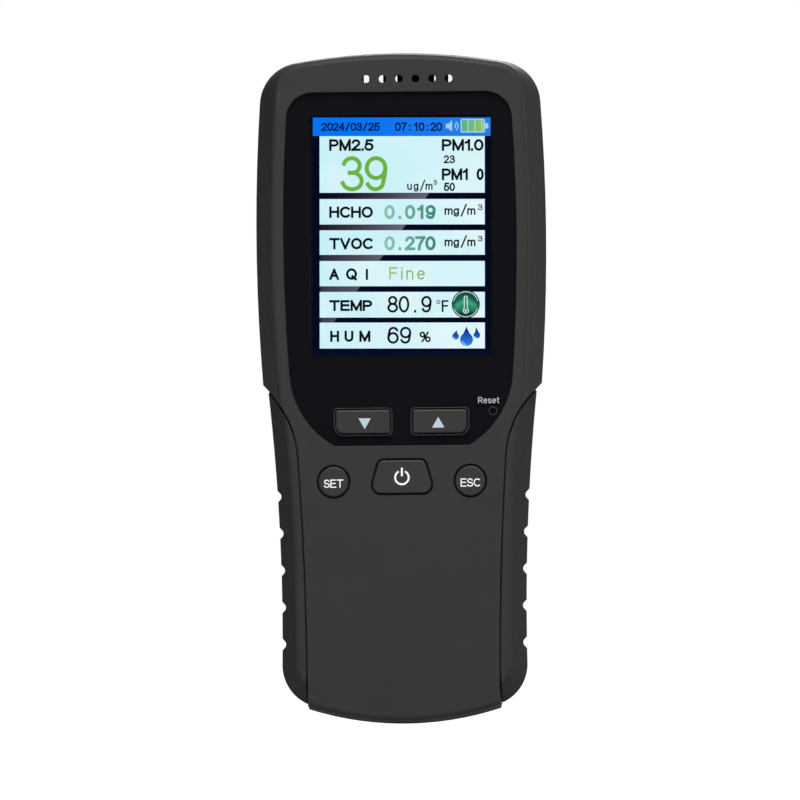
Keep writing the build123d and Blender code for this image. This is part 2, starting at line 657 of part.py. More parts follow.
with BuildPart() as chips:
    for x, z, width, height, thick in CHIPS:
        pull_box(x, z, width, height, BOARD_BACK_Y, BOARD_BACK_Y + thick)
keep("board_chips", chips.part)

with BuildPart() as flex_connector:
    pull_box(0, FLEX_PLUG_Z, 2 * RIBBON_HALF + 1, 2.0, FLEX_PLUG_FRONT_Y, BOARD_FRONT_Y)
keep("flex_connector", flex_connector.part)

with BuildPart() as port:
    port_z = (PORT_LOW + PORT_HIGH) / 2
    pull_box(0, port_z, 2 * PORT_HALF, PORT_HIGH - PORT_LOW, BOARD_BACK_Y, BOARD_BACK_Y + PORT_THICK)
    port_edges = port.edges().filter_by(Axis.Z).sort_by(Axis.Y)
    chamfer(port_edges[:2], 0.6)
    fillet(port.edges().filter_by(Axis.Z).sort_by(Axis.Y)[-2:], 0.5)
    offset(amount=-0.3, openings=port.faces().sort_by(Axis.Z)[0])
    pull_box(0, port_z + 1, 4.6, PORT_HIGH - PORT_LOW - 2, PORT_Y - 0.35, PORT_Y + 0.35)
keep("usb_socket", port.part)

# ================================================================ battery
with BuildPart() as cell:
    cell_z = CELL_LOW + CELL_H / 2
    pull_box(0, cell_z, CELL_W, CELL_H, CELL_FRONT_Y, CELL_BACK_Y)
    fillet(cell.edges().filter_by(Axis.Z), 3.2)
    fillet(cell.faces().sort_by(Axis.Z)[0].edges() + cell.faces().sort_by(Axis.Z)[-1].edges(), 0.8)
keep("battery_cell", cell.part)

with BuildPart() as pad:
    pull_box(0, cell_z, CELL_W - 8, CELL_H - 8, CELL_BACK_Y, PAD_BACK_Y)
keep("battery_pad", pad.part)

with BuildPart() as battery_plug:
    pull_box(PLUG_X, PLUG_Z, 7.0, 4.5, BOARD_BACK_Y, BOARD_BACK_Y + 4.0)
    fillet(battery_plug.faces().sort_by(Axis.Y)[-1].edges(), 0.4)
keep("battery_plug", battery_plug.part)

with BuildPart() as leads:
    plug_low = PLUG_Z - 2.25
    for step in (-1, 1):
        start = (PLUG_X + 1.6 * step - 2, -1.0, CELL_LOW + CELL_H)
        end = (PLUG_X + 1.6 * step, BOARD_BACK_Y + 2.0, plug_low)
        with BuildLine() as path:
            Spline(start, end, tangents=[(0, 0, 1), (0, 0, 1)])
        with BuildSketch(Plane(origin=start, z_dir=(0, 0, 1))):
            Circle(0.5)
        sweep(path=path.line)
keep("battery_leads", leads.part)

# ================================================================ particle sensor
with BuildPart() as pm_housing:
    pull_box(0, PM_Z, 2 * PM_HALF, 2 * PM_HALF, PM_FRONT_Y, PM_LID_Y)
    fillet(pm_housing.edges().filter_by(Axis.Y), 1.5)
    inside = 2 * (PM_HALF - PM_WALL)
    pull_box(0, PM_Z, inside, inside, PM_FLOOR_Y, PM_LID_Y, Mode.SUBTRACT)
    with BuildSketch(Plane.XY.offset(PM_Z + PM_HALF)):  # air inlet, facing the top vents
        with Locations((11, 2)):
            Rectangle(12, 5)
    extrude(amount=-2 * PM_WALL, mode=Mode.SUBTRACT)
keep("pm_housing", pm_housing.part)

with BuildPart() as pm_lid:
    pull_box(0, PM_Z, 2 * PM_HALF, 2 * PM_HALF, PM_LID_Y, PM_BACK_Y)
    fillet(pm_lid.edges().filter_by(Axis.Y), 1.5)
    with BuildSketch(front_plane(PM_LID_Y)) as exhaust:
        with Locations((FAN_X, FAN_Z)):
            Circle(FAN_BORE_R - 0.6)
            Circle(3.0, mode=Mode.SUBTRACT)
            with PolarLocations(0, 3):
                Rectangle(2 * FAN_BORE_R, 1.2, mode=Mode.SUBTRACT)
    extrude(exhaust.sketch, amount=PM_BACK_Y - PM_LID_Y, dir=(0, 1, 0), mode=Mode.SUBTRACT)
keep("pm_lid", pm_lid.part)

with BuildPart() as fan_frame:
    pull_box(FAN_X, FAN_Z, 2 * FAN_HALF, 2 * FAN_HALF, PM_FLOOR_Y, FAN_BACK_Y)
    fillet(fan_frame.edges().filter_by(Axis.Y), 2.0)
    pull_circle(FAN_X, FAN_Z, FAN_BORE_R, FAN_BASE_Y, FAN_BACK_Y, Mode.SUBTRACT)
    pull_circle(FAN_X, FAN_Z, SHAFT_R + SHAFT_PLAY, PM_FLOOR_Y, FAN_BASE_Y, Mode.SUBTRACT)
keep("fan_frame", fan_frame.part)

with BuildPart() as fan_rotor:
    pull_circle(FAN_X, FAN_Z, HUB_R, HUB_FRONT_Y, HUB_BACK_Y)
    fillet(fan_rotor.faces().sort_by(Axis.Y)[-1].edges(), 0.6)
    pull_circle(FAN_X, FAN_Z, SHAFT_R, PM_FLOOR_Y + 0.1, HUB_FRONT_Y)
    blade_y = (HUB_FRONT_Y + HUB_BACK_Y) / 2
    blade_length = BLADE_TIP_R - HUB_R + 0.6
    with Locations(Plane(origin=(FAN_X, blade_y, FAN_Z), x_dir=(1, 0, 0), z_dir=(0, -1, 0))):
        with PolarLocations(BLADE_TIP_R - blade_length / 2, BLADE_COUNT):
            Box(blade_length, 0.7, 6.6, rotation=(BLADE_TILT, 0, 0))
keep("fan_rotor", fan_rotor.part)

with BuildPart() as laser:
    with BuildSketch(Plane.YZ.offset(LASER_X)) as barrel:
        with Locations((LASER_Y, LASER_Z)):
            Circle(2.8)
    extrude(amount=8)
    with BuildSketch(Plane.YZ.offset(LASER_X)):
        with Locations((LASER_Y, LASER_Z)):
            Circle(1.2)
    extrude(amount=2, mode=Mode.SUBTRACT)
keep("pm_laser", laser.part)

with BuildPart() as pm_board:
    pull_box(0, PM_BOARD_Z, 34, 13, PM_FLOOR_Y, PM_FLOOR_Y + 1.0)
    pull_box(-8, PM_BOARD_Z, 5, 5, PM_FLOOR_Y, PM_FLOOR_Y + 2.0)
    pull_box(3, PM_BOARD_Z, 3, 3, PM_FLOOR_Y, PM_FLOOR_Y + 1.8)
keep("pm_board", pm_board.part)

with BuildPart() as pm_plug:
    pull_box(12, PM_Z - PM_HALF + 4, 10, 4, BOARD_BACK_Y, PM_FRONT_Y)
keep("pm_connector", pm_plug.part)

with BuildPart() as pm_pad:
    pull_box(-8, PM_Z + 12, 16, 10, BOARD_BACK_Y, PM_FRONT_Y)
keep("pm_pad", pm_pad.part)

# ================================================================ other sensors and the buzzer
with BuildPart() as gas_cell:
    pull_circle(-12, GAS_Z, 7.0, BOARD_BACK_Y, BOARD_BACK_Y + 6.5)
    fillet(gas_cell.faces().sort_by(Axis.Y)[-1].edges(), 0.6)
    pull_circle(-12, GAS_Z, 2.0, BOARD_BACK_Y + 5.5, BOARD_BACK_Y + 7, Mode.SUBTRACT)
keep("formaldehyde_sensor", gas_cell.part)

with BuildPart() as voc_can:
    pull_circle(12, GAS_Z, 4.6, BOARD_BACK_Y, BOARD_BACK_Y + 1.0)
    pull_circle(12, GAS_Z, 4.1, BOARD_BACK_Y + 1.0, BOARD_BACK_Y + 5.0)
    pull_circle(12, GAS_Z, 2.6, BOARD_BACK_Y + 4.4, BOARD_BACK_Y + 5.0, Mode.SUBTRACT)
keep("voc_sensor", voc_can.part)

with BuildPart() as climate_chip:
    pull_box(-12, 151.5, 3, 3, BOARD_BACK_Y, BOARD_BACK_Y + 1.0)
    pull_circle(-12, 151.5, 0.6, BOARD_BACK_Y + 0.7, BOARD_BACK_Y + 1.5, Mode.SUBTRACT)
keep("climate_sensor", climate_chip.part)

with BuildPart() as buzzer:
    pull_circle(-14, 73, 4.6, BOARD_BACK_Y, BOARD_BACK_Y + 3.2)
    fillet(buzzer.faces().sort_by(Axis.Y)[-1].edges(), 0.5)
    pull_circle(-14, 73, 0.9, BOARD_BACK_Y + 2.4, BOARD_BACK_Y + 4, Mode.SUBTRACT)
keep("buzzer", buzzer.part)

# ================================================================ screws
with BuildPart() as case_screws:
    for x, z in CASE_SCREWS:
        pull_circle(x, z, SHANK_R, SHANK_END_Y, HEAD_SEAT_Y)
        pull_circle(x, z, HEAD_R, HEAD_SEAT_Y, HEAD_SEAT_Y + HEAD_THICK)
        recess_y = HEAD_SEAT_Y + HEAD_THICK - 0.8
        for width, height in ((2.2, 0.6), (0.6, 2.2)):
            pull_box(x, z, width, height, recess_y, recess_y + 1, Mode.SUBTRACT)
keep("case_screws", case_screws.part)

with BuildPart() as board_screws:
    for x, z in BOARD_SCREWS:
        pull_circle(x, z, BOARD_SHANK_R, BOARD_SHANK_END_Y + 0.2, BOARD_BACK_Y)
        pull_circle(x, z, BOARD_HEAD_R, BOARD_BACK_Y, BOARD_BACK_Y + BOARD_HEAD_THICK)
keep("board_screws", board_screws.part)
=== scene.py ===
import json
import math

import bmesh
import bpy
from mathutils import Matrix, Vector


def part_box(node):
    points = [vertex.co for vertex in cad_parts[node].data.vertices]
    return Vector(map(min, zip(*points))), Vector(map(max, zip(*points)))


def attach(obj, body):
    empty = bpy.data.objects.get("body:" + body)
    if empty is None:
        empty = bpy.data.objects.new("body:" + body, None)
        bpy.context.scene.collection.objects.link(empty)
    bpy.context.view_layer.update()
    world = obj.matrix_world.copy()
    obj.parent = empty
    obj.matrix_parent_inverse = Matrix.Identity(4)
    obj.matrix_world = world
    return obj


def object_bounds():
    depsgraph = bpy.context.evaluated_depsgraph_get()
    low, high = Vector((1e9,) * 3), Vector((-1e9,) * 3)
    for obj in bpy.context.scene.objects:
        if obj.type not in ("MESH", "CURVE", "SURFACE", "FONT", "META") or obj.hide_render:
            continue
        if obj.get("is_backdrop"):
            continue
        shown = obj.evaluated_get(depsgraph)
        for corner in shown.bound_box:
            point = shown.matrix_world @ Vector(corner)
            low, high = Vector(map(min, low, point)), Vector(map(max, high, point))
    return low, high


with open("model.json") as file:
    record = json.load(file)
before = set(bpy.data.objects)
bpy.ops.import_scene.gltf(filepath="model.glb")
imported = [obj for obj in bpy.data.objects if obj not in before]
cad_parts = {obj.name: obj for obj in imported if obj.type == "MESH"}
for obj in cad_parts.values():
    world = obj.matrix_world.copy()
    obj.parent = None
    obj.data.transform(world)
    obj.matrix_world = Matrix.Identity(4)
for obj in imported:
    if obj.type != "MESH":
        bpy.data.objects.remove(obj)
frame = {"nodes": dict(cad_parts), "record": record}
cad_low, cad_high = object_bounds()
nodes = frame["nodes"]
slots = {part["node"]: part["material_slot"] for part in frame["record"]["subparts"]}

MM = 0.001
scene = bpy.context.scene
scene.view_settings.view_transform = "Standard"


# ---------------------------------------------------------------- colour and node helpers
def linear(red, green, blue, alpha=1.0):
    """A display colour, 0 to 255 per channel, as the linear values that nodes use."""
    channels = []
    for value in (red, green, blue):
        share = value / 255
        channels.append(share / 12.92 if share <= 0.04045 else ((share + 0.055) / 1.055) ** 2.4)
    return (*channels, alpha)


class Graph:
    """A material's node tree, with short calls for the nodes used here."""

    def __init__(self, name):
        self.material = bpy.data.materials.new(name)
        self.material.use_nodes = True
        self.tree = self.material.node_tree
        self.tree.nodes.clear()
        self.output = self.node("ShaderNodeOutputMaterial")
        self.place = self.node("ShaderNodeTexCoord").outputs["Object"]

    def node(self, kind, inputs=None, **settings):
        made = self.tree.nodes.new(kind)
        for key, value in settings.items():
            setattr(made, key, value)
        for key, value in (inputs or {}).items():
            self.feed(made.inputs[key], value)
        return made

    def feed(self, socket, value):
        if isinstance(value, bpy.types.NodeSocket):
            self.tree.links.new(value, socket)
        else:
            socket.default_value = value

    def noise(self, size_mm, detail=3.0, rough=0.55, place=None):
        """Noise whose features are about size_mm across."""
        scale = 1 / (size_mm * MM)
        inputs = {"Vector": place or self.place, "Scale": scale, "Detail": detail, "Roughness": rough}
        return self.node("ShaderNodeTexNoise", inputs).outputs["Fac"]

    def math(self, operation, *values, clamp=False):
        made = self.node("ShaderNodeMath", operation=operation, use_clamp=clamp)
        for index, value in enumerate(values):
            self.feed(made.inputs[index], value)
        return made.outputs[0]

    def spread(self, value, low, high, out_low=0.0, out_high=1.0):
        """Maps value from low..high to out_low..out_high, clamped."""
        inputs = {0: value, 1: low, 2: high, 3: out_low, 4: out_high}
        return self.node("ShaderNodeMapRange", inputs, clamp=True).outputs[0]

    def mix(self, share, first, second):
        """A colour between first and second, by share."""
        made = self.node("ShaderNodeMix", data_type="RGBA", clamp_factor=True)
        self.feed(made.inputs[0], share)
        self.feed(made.inputs[6], first)
        self.feed(made.inputs[7], second)
        return made.outputs[2]

    def axis(self, index):
        """The surface point's x, y or z in the object's frame, in metres."""
        return self.node("ShaderNodeSeparateXYZ", {0: self.place}).outputs[index]

    def shine(self, colour, strength=1.0):
        """Finishes the material as an even light of its own."""
        light = self.node("ShaderNodeEmission", {"Color": colour, "Strength": strength})
        return self.finish(light.outputs[0])

    def finish(self, shader):
        self.tree.links.new(shader, self.output.inputs["Surface"])
        return self.material


CLOUD_MM = 9.0  # size of the colour's soft patches
ROUGH_VARIATION = 0.06
WEAR_AND_HIGHLIGHT_LIGHTER, WORN_SMOOTHER = 2.1, 0.12  # how an edge differs from the rest: lighter, partly wear and partly a painted highlight, and smoother
BEVEL_FLAT, BEVEL_EDGE = 0.995, 0.86  # rounded normal against true normal: no edge wear and painted highlight, then full


def scaled(colour, factor):
    """The same colour, lighter or darker."""
    return (*[min(1.0, channel * factor) for channel in colour[:3]], 1.0)


def moulded(
    name,
    colour,
    roughness,
    grain_mm=0.25,
    grain_depth=0.02,
    mottle=0.08,
    edge=0.0,
    bevel_mm=0.0,
    metallic=0.0,
    specular=0.5,
    stretch=None,
    glow=0.0,
    flat=False,
):
    """A solid material with grain in its surface and mottled colour.

    Where asked, its edges are lighter, partly wear and partly a painted highlight (edge, bevel_mm), its
    grain is drawn out (stretch), it has a faint painted glow so that thin print stays legible (glow), or it
    is shaded by its true faces (flat).
    """
    g = Graph(name)
    place = g.place
    if stretch:
        place = g.node("ShaderNodeMapping", {"Vector": g.place, "Scale": stretch}).outputs[0]
    grain = g.noise(grain_mm, 2.0, 0.6, place)
    cloud = g.noise(CLOUD_MM, 3.0, 0.6)
    speck = g.noise(grain_mm * 3, 2.0, 0.5, place)
    tint = g.math("ADD", g.math("MULTIPLY", cloud, 0.6), g.math("MULTIPLY", speck, 0.4))
    body = g.mix(g.spread(tint, 0.35, 0.65), scaled(colour, 1 - mottle), scaled(colour, 1 + mottle))
    rough = g.spread(speck, 0.3, 0.7, roughness - ROUGH_VARIATION, roughness + ROUGH_VARIATION)
    inputs = {"Metallic": metallic, "IOR": 1.45, "Specular IOR Level": specular}
    bump = {"Height": grain, "Distance": grain_depth * MM, "Strength": 1.0}
    if flat:
        bump["Normal"] = g.node("ShaderNodeNewGeometry").outputs["True Normal"]
    if bevel_mm:
        bevel = g.node("ShaderNodeBevel", {"Radius": bevel_mm * MM}, samples=4).outputs[0]
        bump["Normal"] = bevel
        normal = g.node("ShaderNodeNewGeometry").outputs["Normal"]
        meet = g.node("ShaderNodeVectorMath", {0: bevel, 1: normal}, operation="DOT_PRODUCT")
        # Edges are painted lighter and smoother: partly wear, partly a painted highlight where a rounded
        # edge catches the light.
        edge_wear_and_highlight = g.math("MULTIPLY", g.spread(meet.outputs["Value"], BEVEL_FLAT, BEVEL_EDGE), edge)
        patchy_wear_and_highlight = g.math("MULTIPLY", edge_wear_and_highlight, g.spread(g.noise(1.6), 0.35, 0.6, 0.55, 1.0))
        body = g.mix(patchy_wear_and_highlight, body, scaled(colour, WEAR_AND_HIGHLIGHT_LIGHTER))
        rough = g.math("SUBTRACT", rough, g.math("MULTIPLY", patchy_wear_and_highlight, WORN_SMOOTHER))
    inputs["Normal"] = g.node("ShaderNodeBump", bump).outputs[0]
    inputs["Base Color"] = body
    inputs["Roughness"] = rough
    # The body colour is also given off as a faint glow: painted light, since the part is no lamp.
    if glow:
        inputs["Emission Color"] = body
        inputs["Emission Strength"] = glow
    return g.finish(g.node("ShaderNodeBsdfPrincipled", inputs).outputs[0])


def brushed(name, colour, roughness, along=(1, 1, 12)):
    """Metal with fine drawn lines."""
    return moulded(name, colour, roughness, 0.5, 0.004, 0.12, metallic=1.0, stretch=along)


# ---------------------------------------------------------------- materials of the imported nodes
CHARCOAL = linear(59, 59, 58)
WINDOW_IOR = 1.3
TAPE_Z = 59.5 * MM  # the battery's amber tape starts here


def clear_window():
    """Polished acrylic: nearly invisible face on, mirror-like towards grazing angles.

    Its back faces mirror nothing, so the display behind it stays visible from every side.
    """
    g = Graph("window_clear")
    surface = g.node("ShaderNodeNewGeometry").outputs
    flat = surface["True Normal"]
    fresnel = g.node("ShaderNodeFresnel", {"IOR": WINDOW_IOR, "Normal": flat}).outputs[0]
    mirror = g.math("MULTIPLY", fresnel, g.math("SUBTRACT", 1.0, surface["Backfacing"]))
    bump = {"Height": g.noise(14.0), "Distance": 0.01 * MM, "Normal": flat}
    ripple = g.node("ShaderNodeBump", bump).outputs[0]
    smear = g.spread(g.noise(16.0, 1.0, 0.5), 0.35, 0.65, 0.03, 0.06)
    polish = {"Color": (0.9, 0.92, 1, 1), "Roughness": smear, "Normal": ripple}
    gloss = g.node("ShaderNodeBsdfAnisotropic", polish).outputs[0]
    clear = g.node("ShaderNodeBsdfTransparent", {"Color": (0.98, 0.985, 1, 1)}).outputs[0]
    shader = g.node("ShaderNodeMixShader", {0: mirror, 1: clear, 2: gloss}).outputs[0]
    g.material.surface_render_method = "BLENDED"
    return g.finish(shader)


def circuit_board(name):
    """Green solder mask with raised copper runs and pads."""
    g = Graph(name)
    facing = g.node("ShaderNodeMapping", {"Vector": g.place, "Rotation": (math.pi / 2, 0, 0)}).outputs[0]
    grid = {
        "Vector": facing, "Scale": 420.0, "Mortar Size": 0.06, "Mortar Smooth": 0.2,
        "Brick Width": 1.4, "Row Height": 0.45,
    }
    runs = g.node("ShaderNodeTexBrick", grid).outputs["Fac"]
    broken = g.math("MULTIPLY", runs, g.spread(g.noise(5.0), 0.45, 0.5))
    mask = g.mix(broken, linear(14, 74, 44), linear(38, 118, 70))
    cells = g.node("ShaderNodeTexVoronoi", {"Vector": g.place, "Scale": 380.0}).outputs[0]
    gold = g.spread(cells, 0.13, 0.11)
    inputs = {
        "Base Color": g.mix(gold, mask, linear(196, 158, 80)),
        "Roughness": g.spread(gold, 0, 1, 0.32, 0.45),
        "Metallic": gold,
        "Normal": g.node("ShaderNodeBump", {"Height": broken, "Distance": 0.04 * MM}).outputs[0],
    }
    return g.finish(g.node("ShaderNodeBsdfPrincipled", inputs).outputs[0])


def foil_pouch():
    """The battery's crinkled laminate."""
    g = Graph("cell_foil")
    crinkle = g.noise(5.0, 6.0, 0.7)
    tape = g.spread(g.axis(2), TAPE_Z, TAPE_Z + 0.2 * MM)
    inputs = {
        "Base Color": g.mix(tape, linear(190, 192, 196), linear(206, 142, 40)),
        "Roughness": g.spread(crinkle, 0.3, 0.7, 0.2, 0.4),
        "Metallic": g.math("SUBTRACT", 1.0, tape),
        "Normal": g.node("ShaderNodeBump", {"Height": crinkle, "Distance": 0.4 * MM}).outputs[0],
    }
    return g.finish(g.node("ShaderNodeBsdfPrincipled", inputs).outputs[0])


MATERIALS = {
    "casing": moulded("casing", CHARCOAL, 0.54, 0.32, 0.012, 0.05, edge=0.5, bevel_mm=0.22, specular=0.42),
    "grip_rubber": moulded(
        "grip_rubber", linear(64, 64, 63), 0.7, 0.5, 0.03, 0.06, edge=0.35, bevel_mm=0.25, specular=0.25
    ),
    "key_plastic": moulded(
        "key_plastic", linear(60, 60, 59), 0.45, 0.28, 0.008, 0.05, edge=0.6, bevel_mm=0.15
    ),
    "window_clear": clear_window(),
    "border_print": moulded(
        "border_print", linear(12, 11, 18), 0.6, 0.4, 0.001, 0.06, specular=0.12, flat=True
    ),
    "gasket_foam": moulded("gasket_foam", linear(26, 26, 26), 0.9, 0.3, 0.08, 0.25),
    "lcd_glass": moulded("lcd_glass", linear(10, 12, 20), 0.15, 0.4, 0.001, 0.15),
    "lcd_frame": brushed("lcd_frame", linear(186, 187, 190), 0.35),
    "holder_plastic": moulded("holder_plastic", linear(214, 214, 208), 0.5, 0.4, 0.01, 0.05, bevel_mm=0.2),
    "ribbon_film": moulded("ribbon_film", linear(176, 108, 28), 0.3, 1.2, 0.01, 0.2, stretch=(8, 1, 1)),
    "board_laminate": circuit_board("board_laminate"),
    "chip_epoxy": moulded("chip_epoxy", linear(30, 30, 32), 0.5, 0.2, 0.01, 0.15, bevel_mm=0.1),
    "connector_nylon": moulded(
        "connector_nylon", linear(226, 220, 200), 0.45, 0.4, 0.01, 0.05, bevel_mm=0.1
    ),
    "socket_steel": brushed("socket_steel", linear(190, 190, 192), 0.28),
    "switch_body": moulded("switch_body", linear(40, 40, 40), 0.5, 0.25, 0.01, 0.1, bevel_mm=0.1),
    "switch_plunger": moulded("switch_plunger", linear(58, 56, 54), 0.4, 0.25, 0.006, 0.1, bevel_mm=0.1),
    "cell_foil": foil_pouch(),
    "pad_foam": moulded("pad_foam", linear(46, 46, 46), 0.95, 0.5, 0.15, 0.3),
    "lead_red": moulded("lead_red", linear(176, 24, 20), 0.5, 0.6, 0.01, 0.08),
    "sensor_case": moulded(
        "sensor_case", linear(34, 72, 128), 0.35, 0.5, 0.01, 0.06, edge=0.4, bevel_mm=0.2
    ),
    "fan_plastic": moulded("fan_plastic", linear(34, 34, 35), 0.42, 0.3, 0.008, 0.08, bevel_mm=0.1),
    "laser_brass": brushed("laser_brass", linear(206, 170, 96), 0.25, (12, 1, 1)),
    "gas_cell": moulded("gas_cell", linear(216, 216, 212), 0.45, 0.5, 0.01, 0.04, bevel_mm=0.2),
    "sensor_can": brushed("sensor_can", linear(196, 196, 198), 0.22, (1, 12, 1)),
    "screw_steel": moulded(
        "screw_steel", linear(84, 84, 88), 0.32, 0.3, 0.006, 0.15, metallic=1.0, bevel_mm=0.1
    ),
    "label_film": moulded("label_film", linear(168, 168, 165), 0.4, 0.35, 0.006, 0.04, metallic=0.3),
}
for name, node in nodes.items():
    node.data.materials.clear()
    node.data.materials.append(MATERIALS[slots[name]])


# ---------------------------------------------------------------- thin printed and lit pieces
UNEVEN_LIGHT, ROW_TRACE, ROW_PITCH = 0.03, 0.015, 0.18 * MM


def glow(name, colour):
    """A lit area of the display: its colour, slightly uneven, with a trace of the pixel rows."""
    g = Graph(name)
    uneven = g.spread(g.noise(8.0, 2.0), 0.3, 0.7, 1 - UNEVEN_LIGHT, 1 + UNEVEN_LIGHT)
    cell = g.math("SINE", g.math("MULTIPLY", g.axis(2), 2 * math.pi / ROW_PITCH))
    return g.shine(colour, g.math("MULTIPLY", uneven, g.spread(cell, -1, 1, 1 - ROW_TRACE, 1 + ROW_TRACE)))


# Single-line letters, ten units tall: each letter's width and its strokes. A stroke is a run of points
# "x,z" and of arcs "centre x, centre z, radius x, radius z, first angle, last angle"; "z" closes it.
GLYPHS = {
    "0": (5.8, "2.9,5,2.9,5,0,360 z"),
    "1": (2.5, "0,7.5 1.5,8.5 2.5,10 2.5,0"),
    "2": (5.8, "2.8,7.2,2.6,2.8,170,-35 0,0 5.8,0"),
    "3": (5.7, "2.7,7.6,2.4,2.4,165,-75 2.1,5.3 2.8,2.7,2.9,2.7,80,-165"),
    "4": (6.0, "4.4,0 4.4,10 0,3.1 6,3.1"),
    "5": (5.7, "5.3,10 1.2,10 0.4,5 2.7,3.2,2.9,3.2,135,-165"),
    "6": (5.8, "3.1,7.2,2.5,2.8,25,150 0.3,5.4 0.1,3.4;2.9,3.2,2.8,3.2,0,360 z"),
    "7": (5.7, "0,10 5.7,10 3.6,6.2 2.3,2.8 2,0"),
    "8": (5.8, "2.9,7.6,2.4,2.4,0,360 z;2.9,2.6,2.9,2.6,0,360 z"),
    "9": (5.8, "2.7,2.8,2.5,2.8,-155,-30 5.5,4.6 5.7,6.6;2.9,6.8,2.8,3.2,0,360 z"),
    "A": (6.8, "0,0 3.4,10 6.8,0;1.3,3.5 5.5,3.5"),
    "C": (6.8, "3.8,5,3.8,5,48,312"),
    "E": (5.8, "5.8,0 0,0 0,10 5.6,10;0,5.3 5.3,5.3"),
    "F": (5.2, "0,0 0,10 5.2,10;0,5.3 4.5,5.3"),
    "H": (6.2, "0,0 0,10;6.2,0 6.2,10;0,5.3 6.2,5.3"),
    "I": (0.0, "0,0 0,10"),
    "M": (7.4, "0,0 0,10 3.7,0.4 7.4,10 7.4,0"),
    "O": (7.4, "3.7,5,3.7,5,0,360 z"),
    "P": (5.9, "0,0 0,10 3.4,10 3.4,7.3,2.5,2.7,80,-80 3.4,4.6 0,4.6"),
    "Q": (7.4, "3.7,5,3.7,5,0,360 z;4.5,2.6 7.2,-0.6"),
    "R": (6.2, "0,0 0,10 3.5,10 3.5,7.4,2.4,2.6,80,-80 3.5,4.8 0,4.8;3.3,4.8 6.2,0"),
    "S": (5.9, "2.95,7.4,2.6,2.6,20,250 2.95,2.6,2.95,2.6,70,-165"),
    "T": (6.6, "0,10 6.6,10;3.3,10 3.3,0"),
    "U": (6.2, "0,10 0,3.4 3.1,3.3,3.1,3.3,185,355 6.2,10"),
    "V": (6.8, "0,10 3.4,0 6.8,10"),
    "e": (4.9, "0.1,3.9 4.8,3.9 2.45,3.6,2.45,3.6,15,315"),
    "g": (4.6, "2.3,3.7,2.3,3.5,0,360 z;4.6,7.2 4.6,-0.4 2.4,-0.6,2.2,2.2,-10,-160"),
    "i": (0.0, "0,0 0,7.2;0,9.7 0,10"),
    "m": (7.4, "0,0 0,7.2;0,5.2 1.85,5.2,1.85,2,175,5 3.7,0;3.7,5.2 5.55,5.2,1.85,2,175,5 7.4,0"),
    "n": (4.4, "0,0 0,7.2;0,4.8 2.2,4.8,2.2,2.4,175,5 4.4,0"),
    "s": (4.4, "2.2,5.4,1.9,1.8,20,250 2.2,1.8,2.2,1.8,70,-165"),
    "t": (2.8, "1.2,9.6 1.2,1.3 1.7,0.2 2.8,0.1;0,7.2 2.8,7.2"),
    "u": (4.4, "0,7.2 0,2.6 2.2,2.5,2.2,2.5,185,355 4.4,7.2;4.4,2.6 4.4,0"),
    ".": (0.0, "0,0 0,0.3"),
    ":": (0.0, "0,0.6 0,0.9;0,6.2 0,6.5"),
    "/": (3.8, "0,-0.4 3.8,10.2"),
    "|": (5.2, "0,-2.4 5.2,13.4"),
    "%": (8.0, "1.7,7.6,1.7,2.4,0,360 z;6.3,2.4,1.7,2.4,0,360 z;1.7,0 6.3,10"),
}
SHARPEST = -0.2  # cosine of the turn past which a stroke is broken in two
ARC_STEP = 20  # degrees
STROKE_LIFT = 0.003 * MM  # strokes that cross never share a plane
MERGE_WITHIN = 2e-7


def trace(path):
    """The points of one stroke, and whether it closes on itself."""
    points = []
    for token in path.split():
        if token == "z":
            return points[:-1], True
        numbers = [float(number) for number in token.split(",")]
        if len(numbers) == 2:
            points.append(tuple(numbers))
            continue
        centre_x, centre_z, radius_x, radius_z, first, last = numbers
        steps = max(2, round(abs(last - first) / ARC_STEP))
        for step in range(steps + 1):
            angle = math.radians(first + (last - first) * step / steps)
            points.append((centre_x + radius_x * math.cos(angle), centre_z + radius_z * math.sin(angle)))
    return points, False


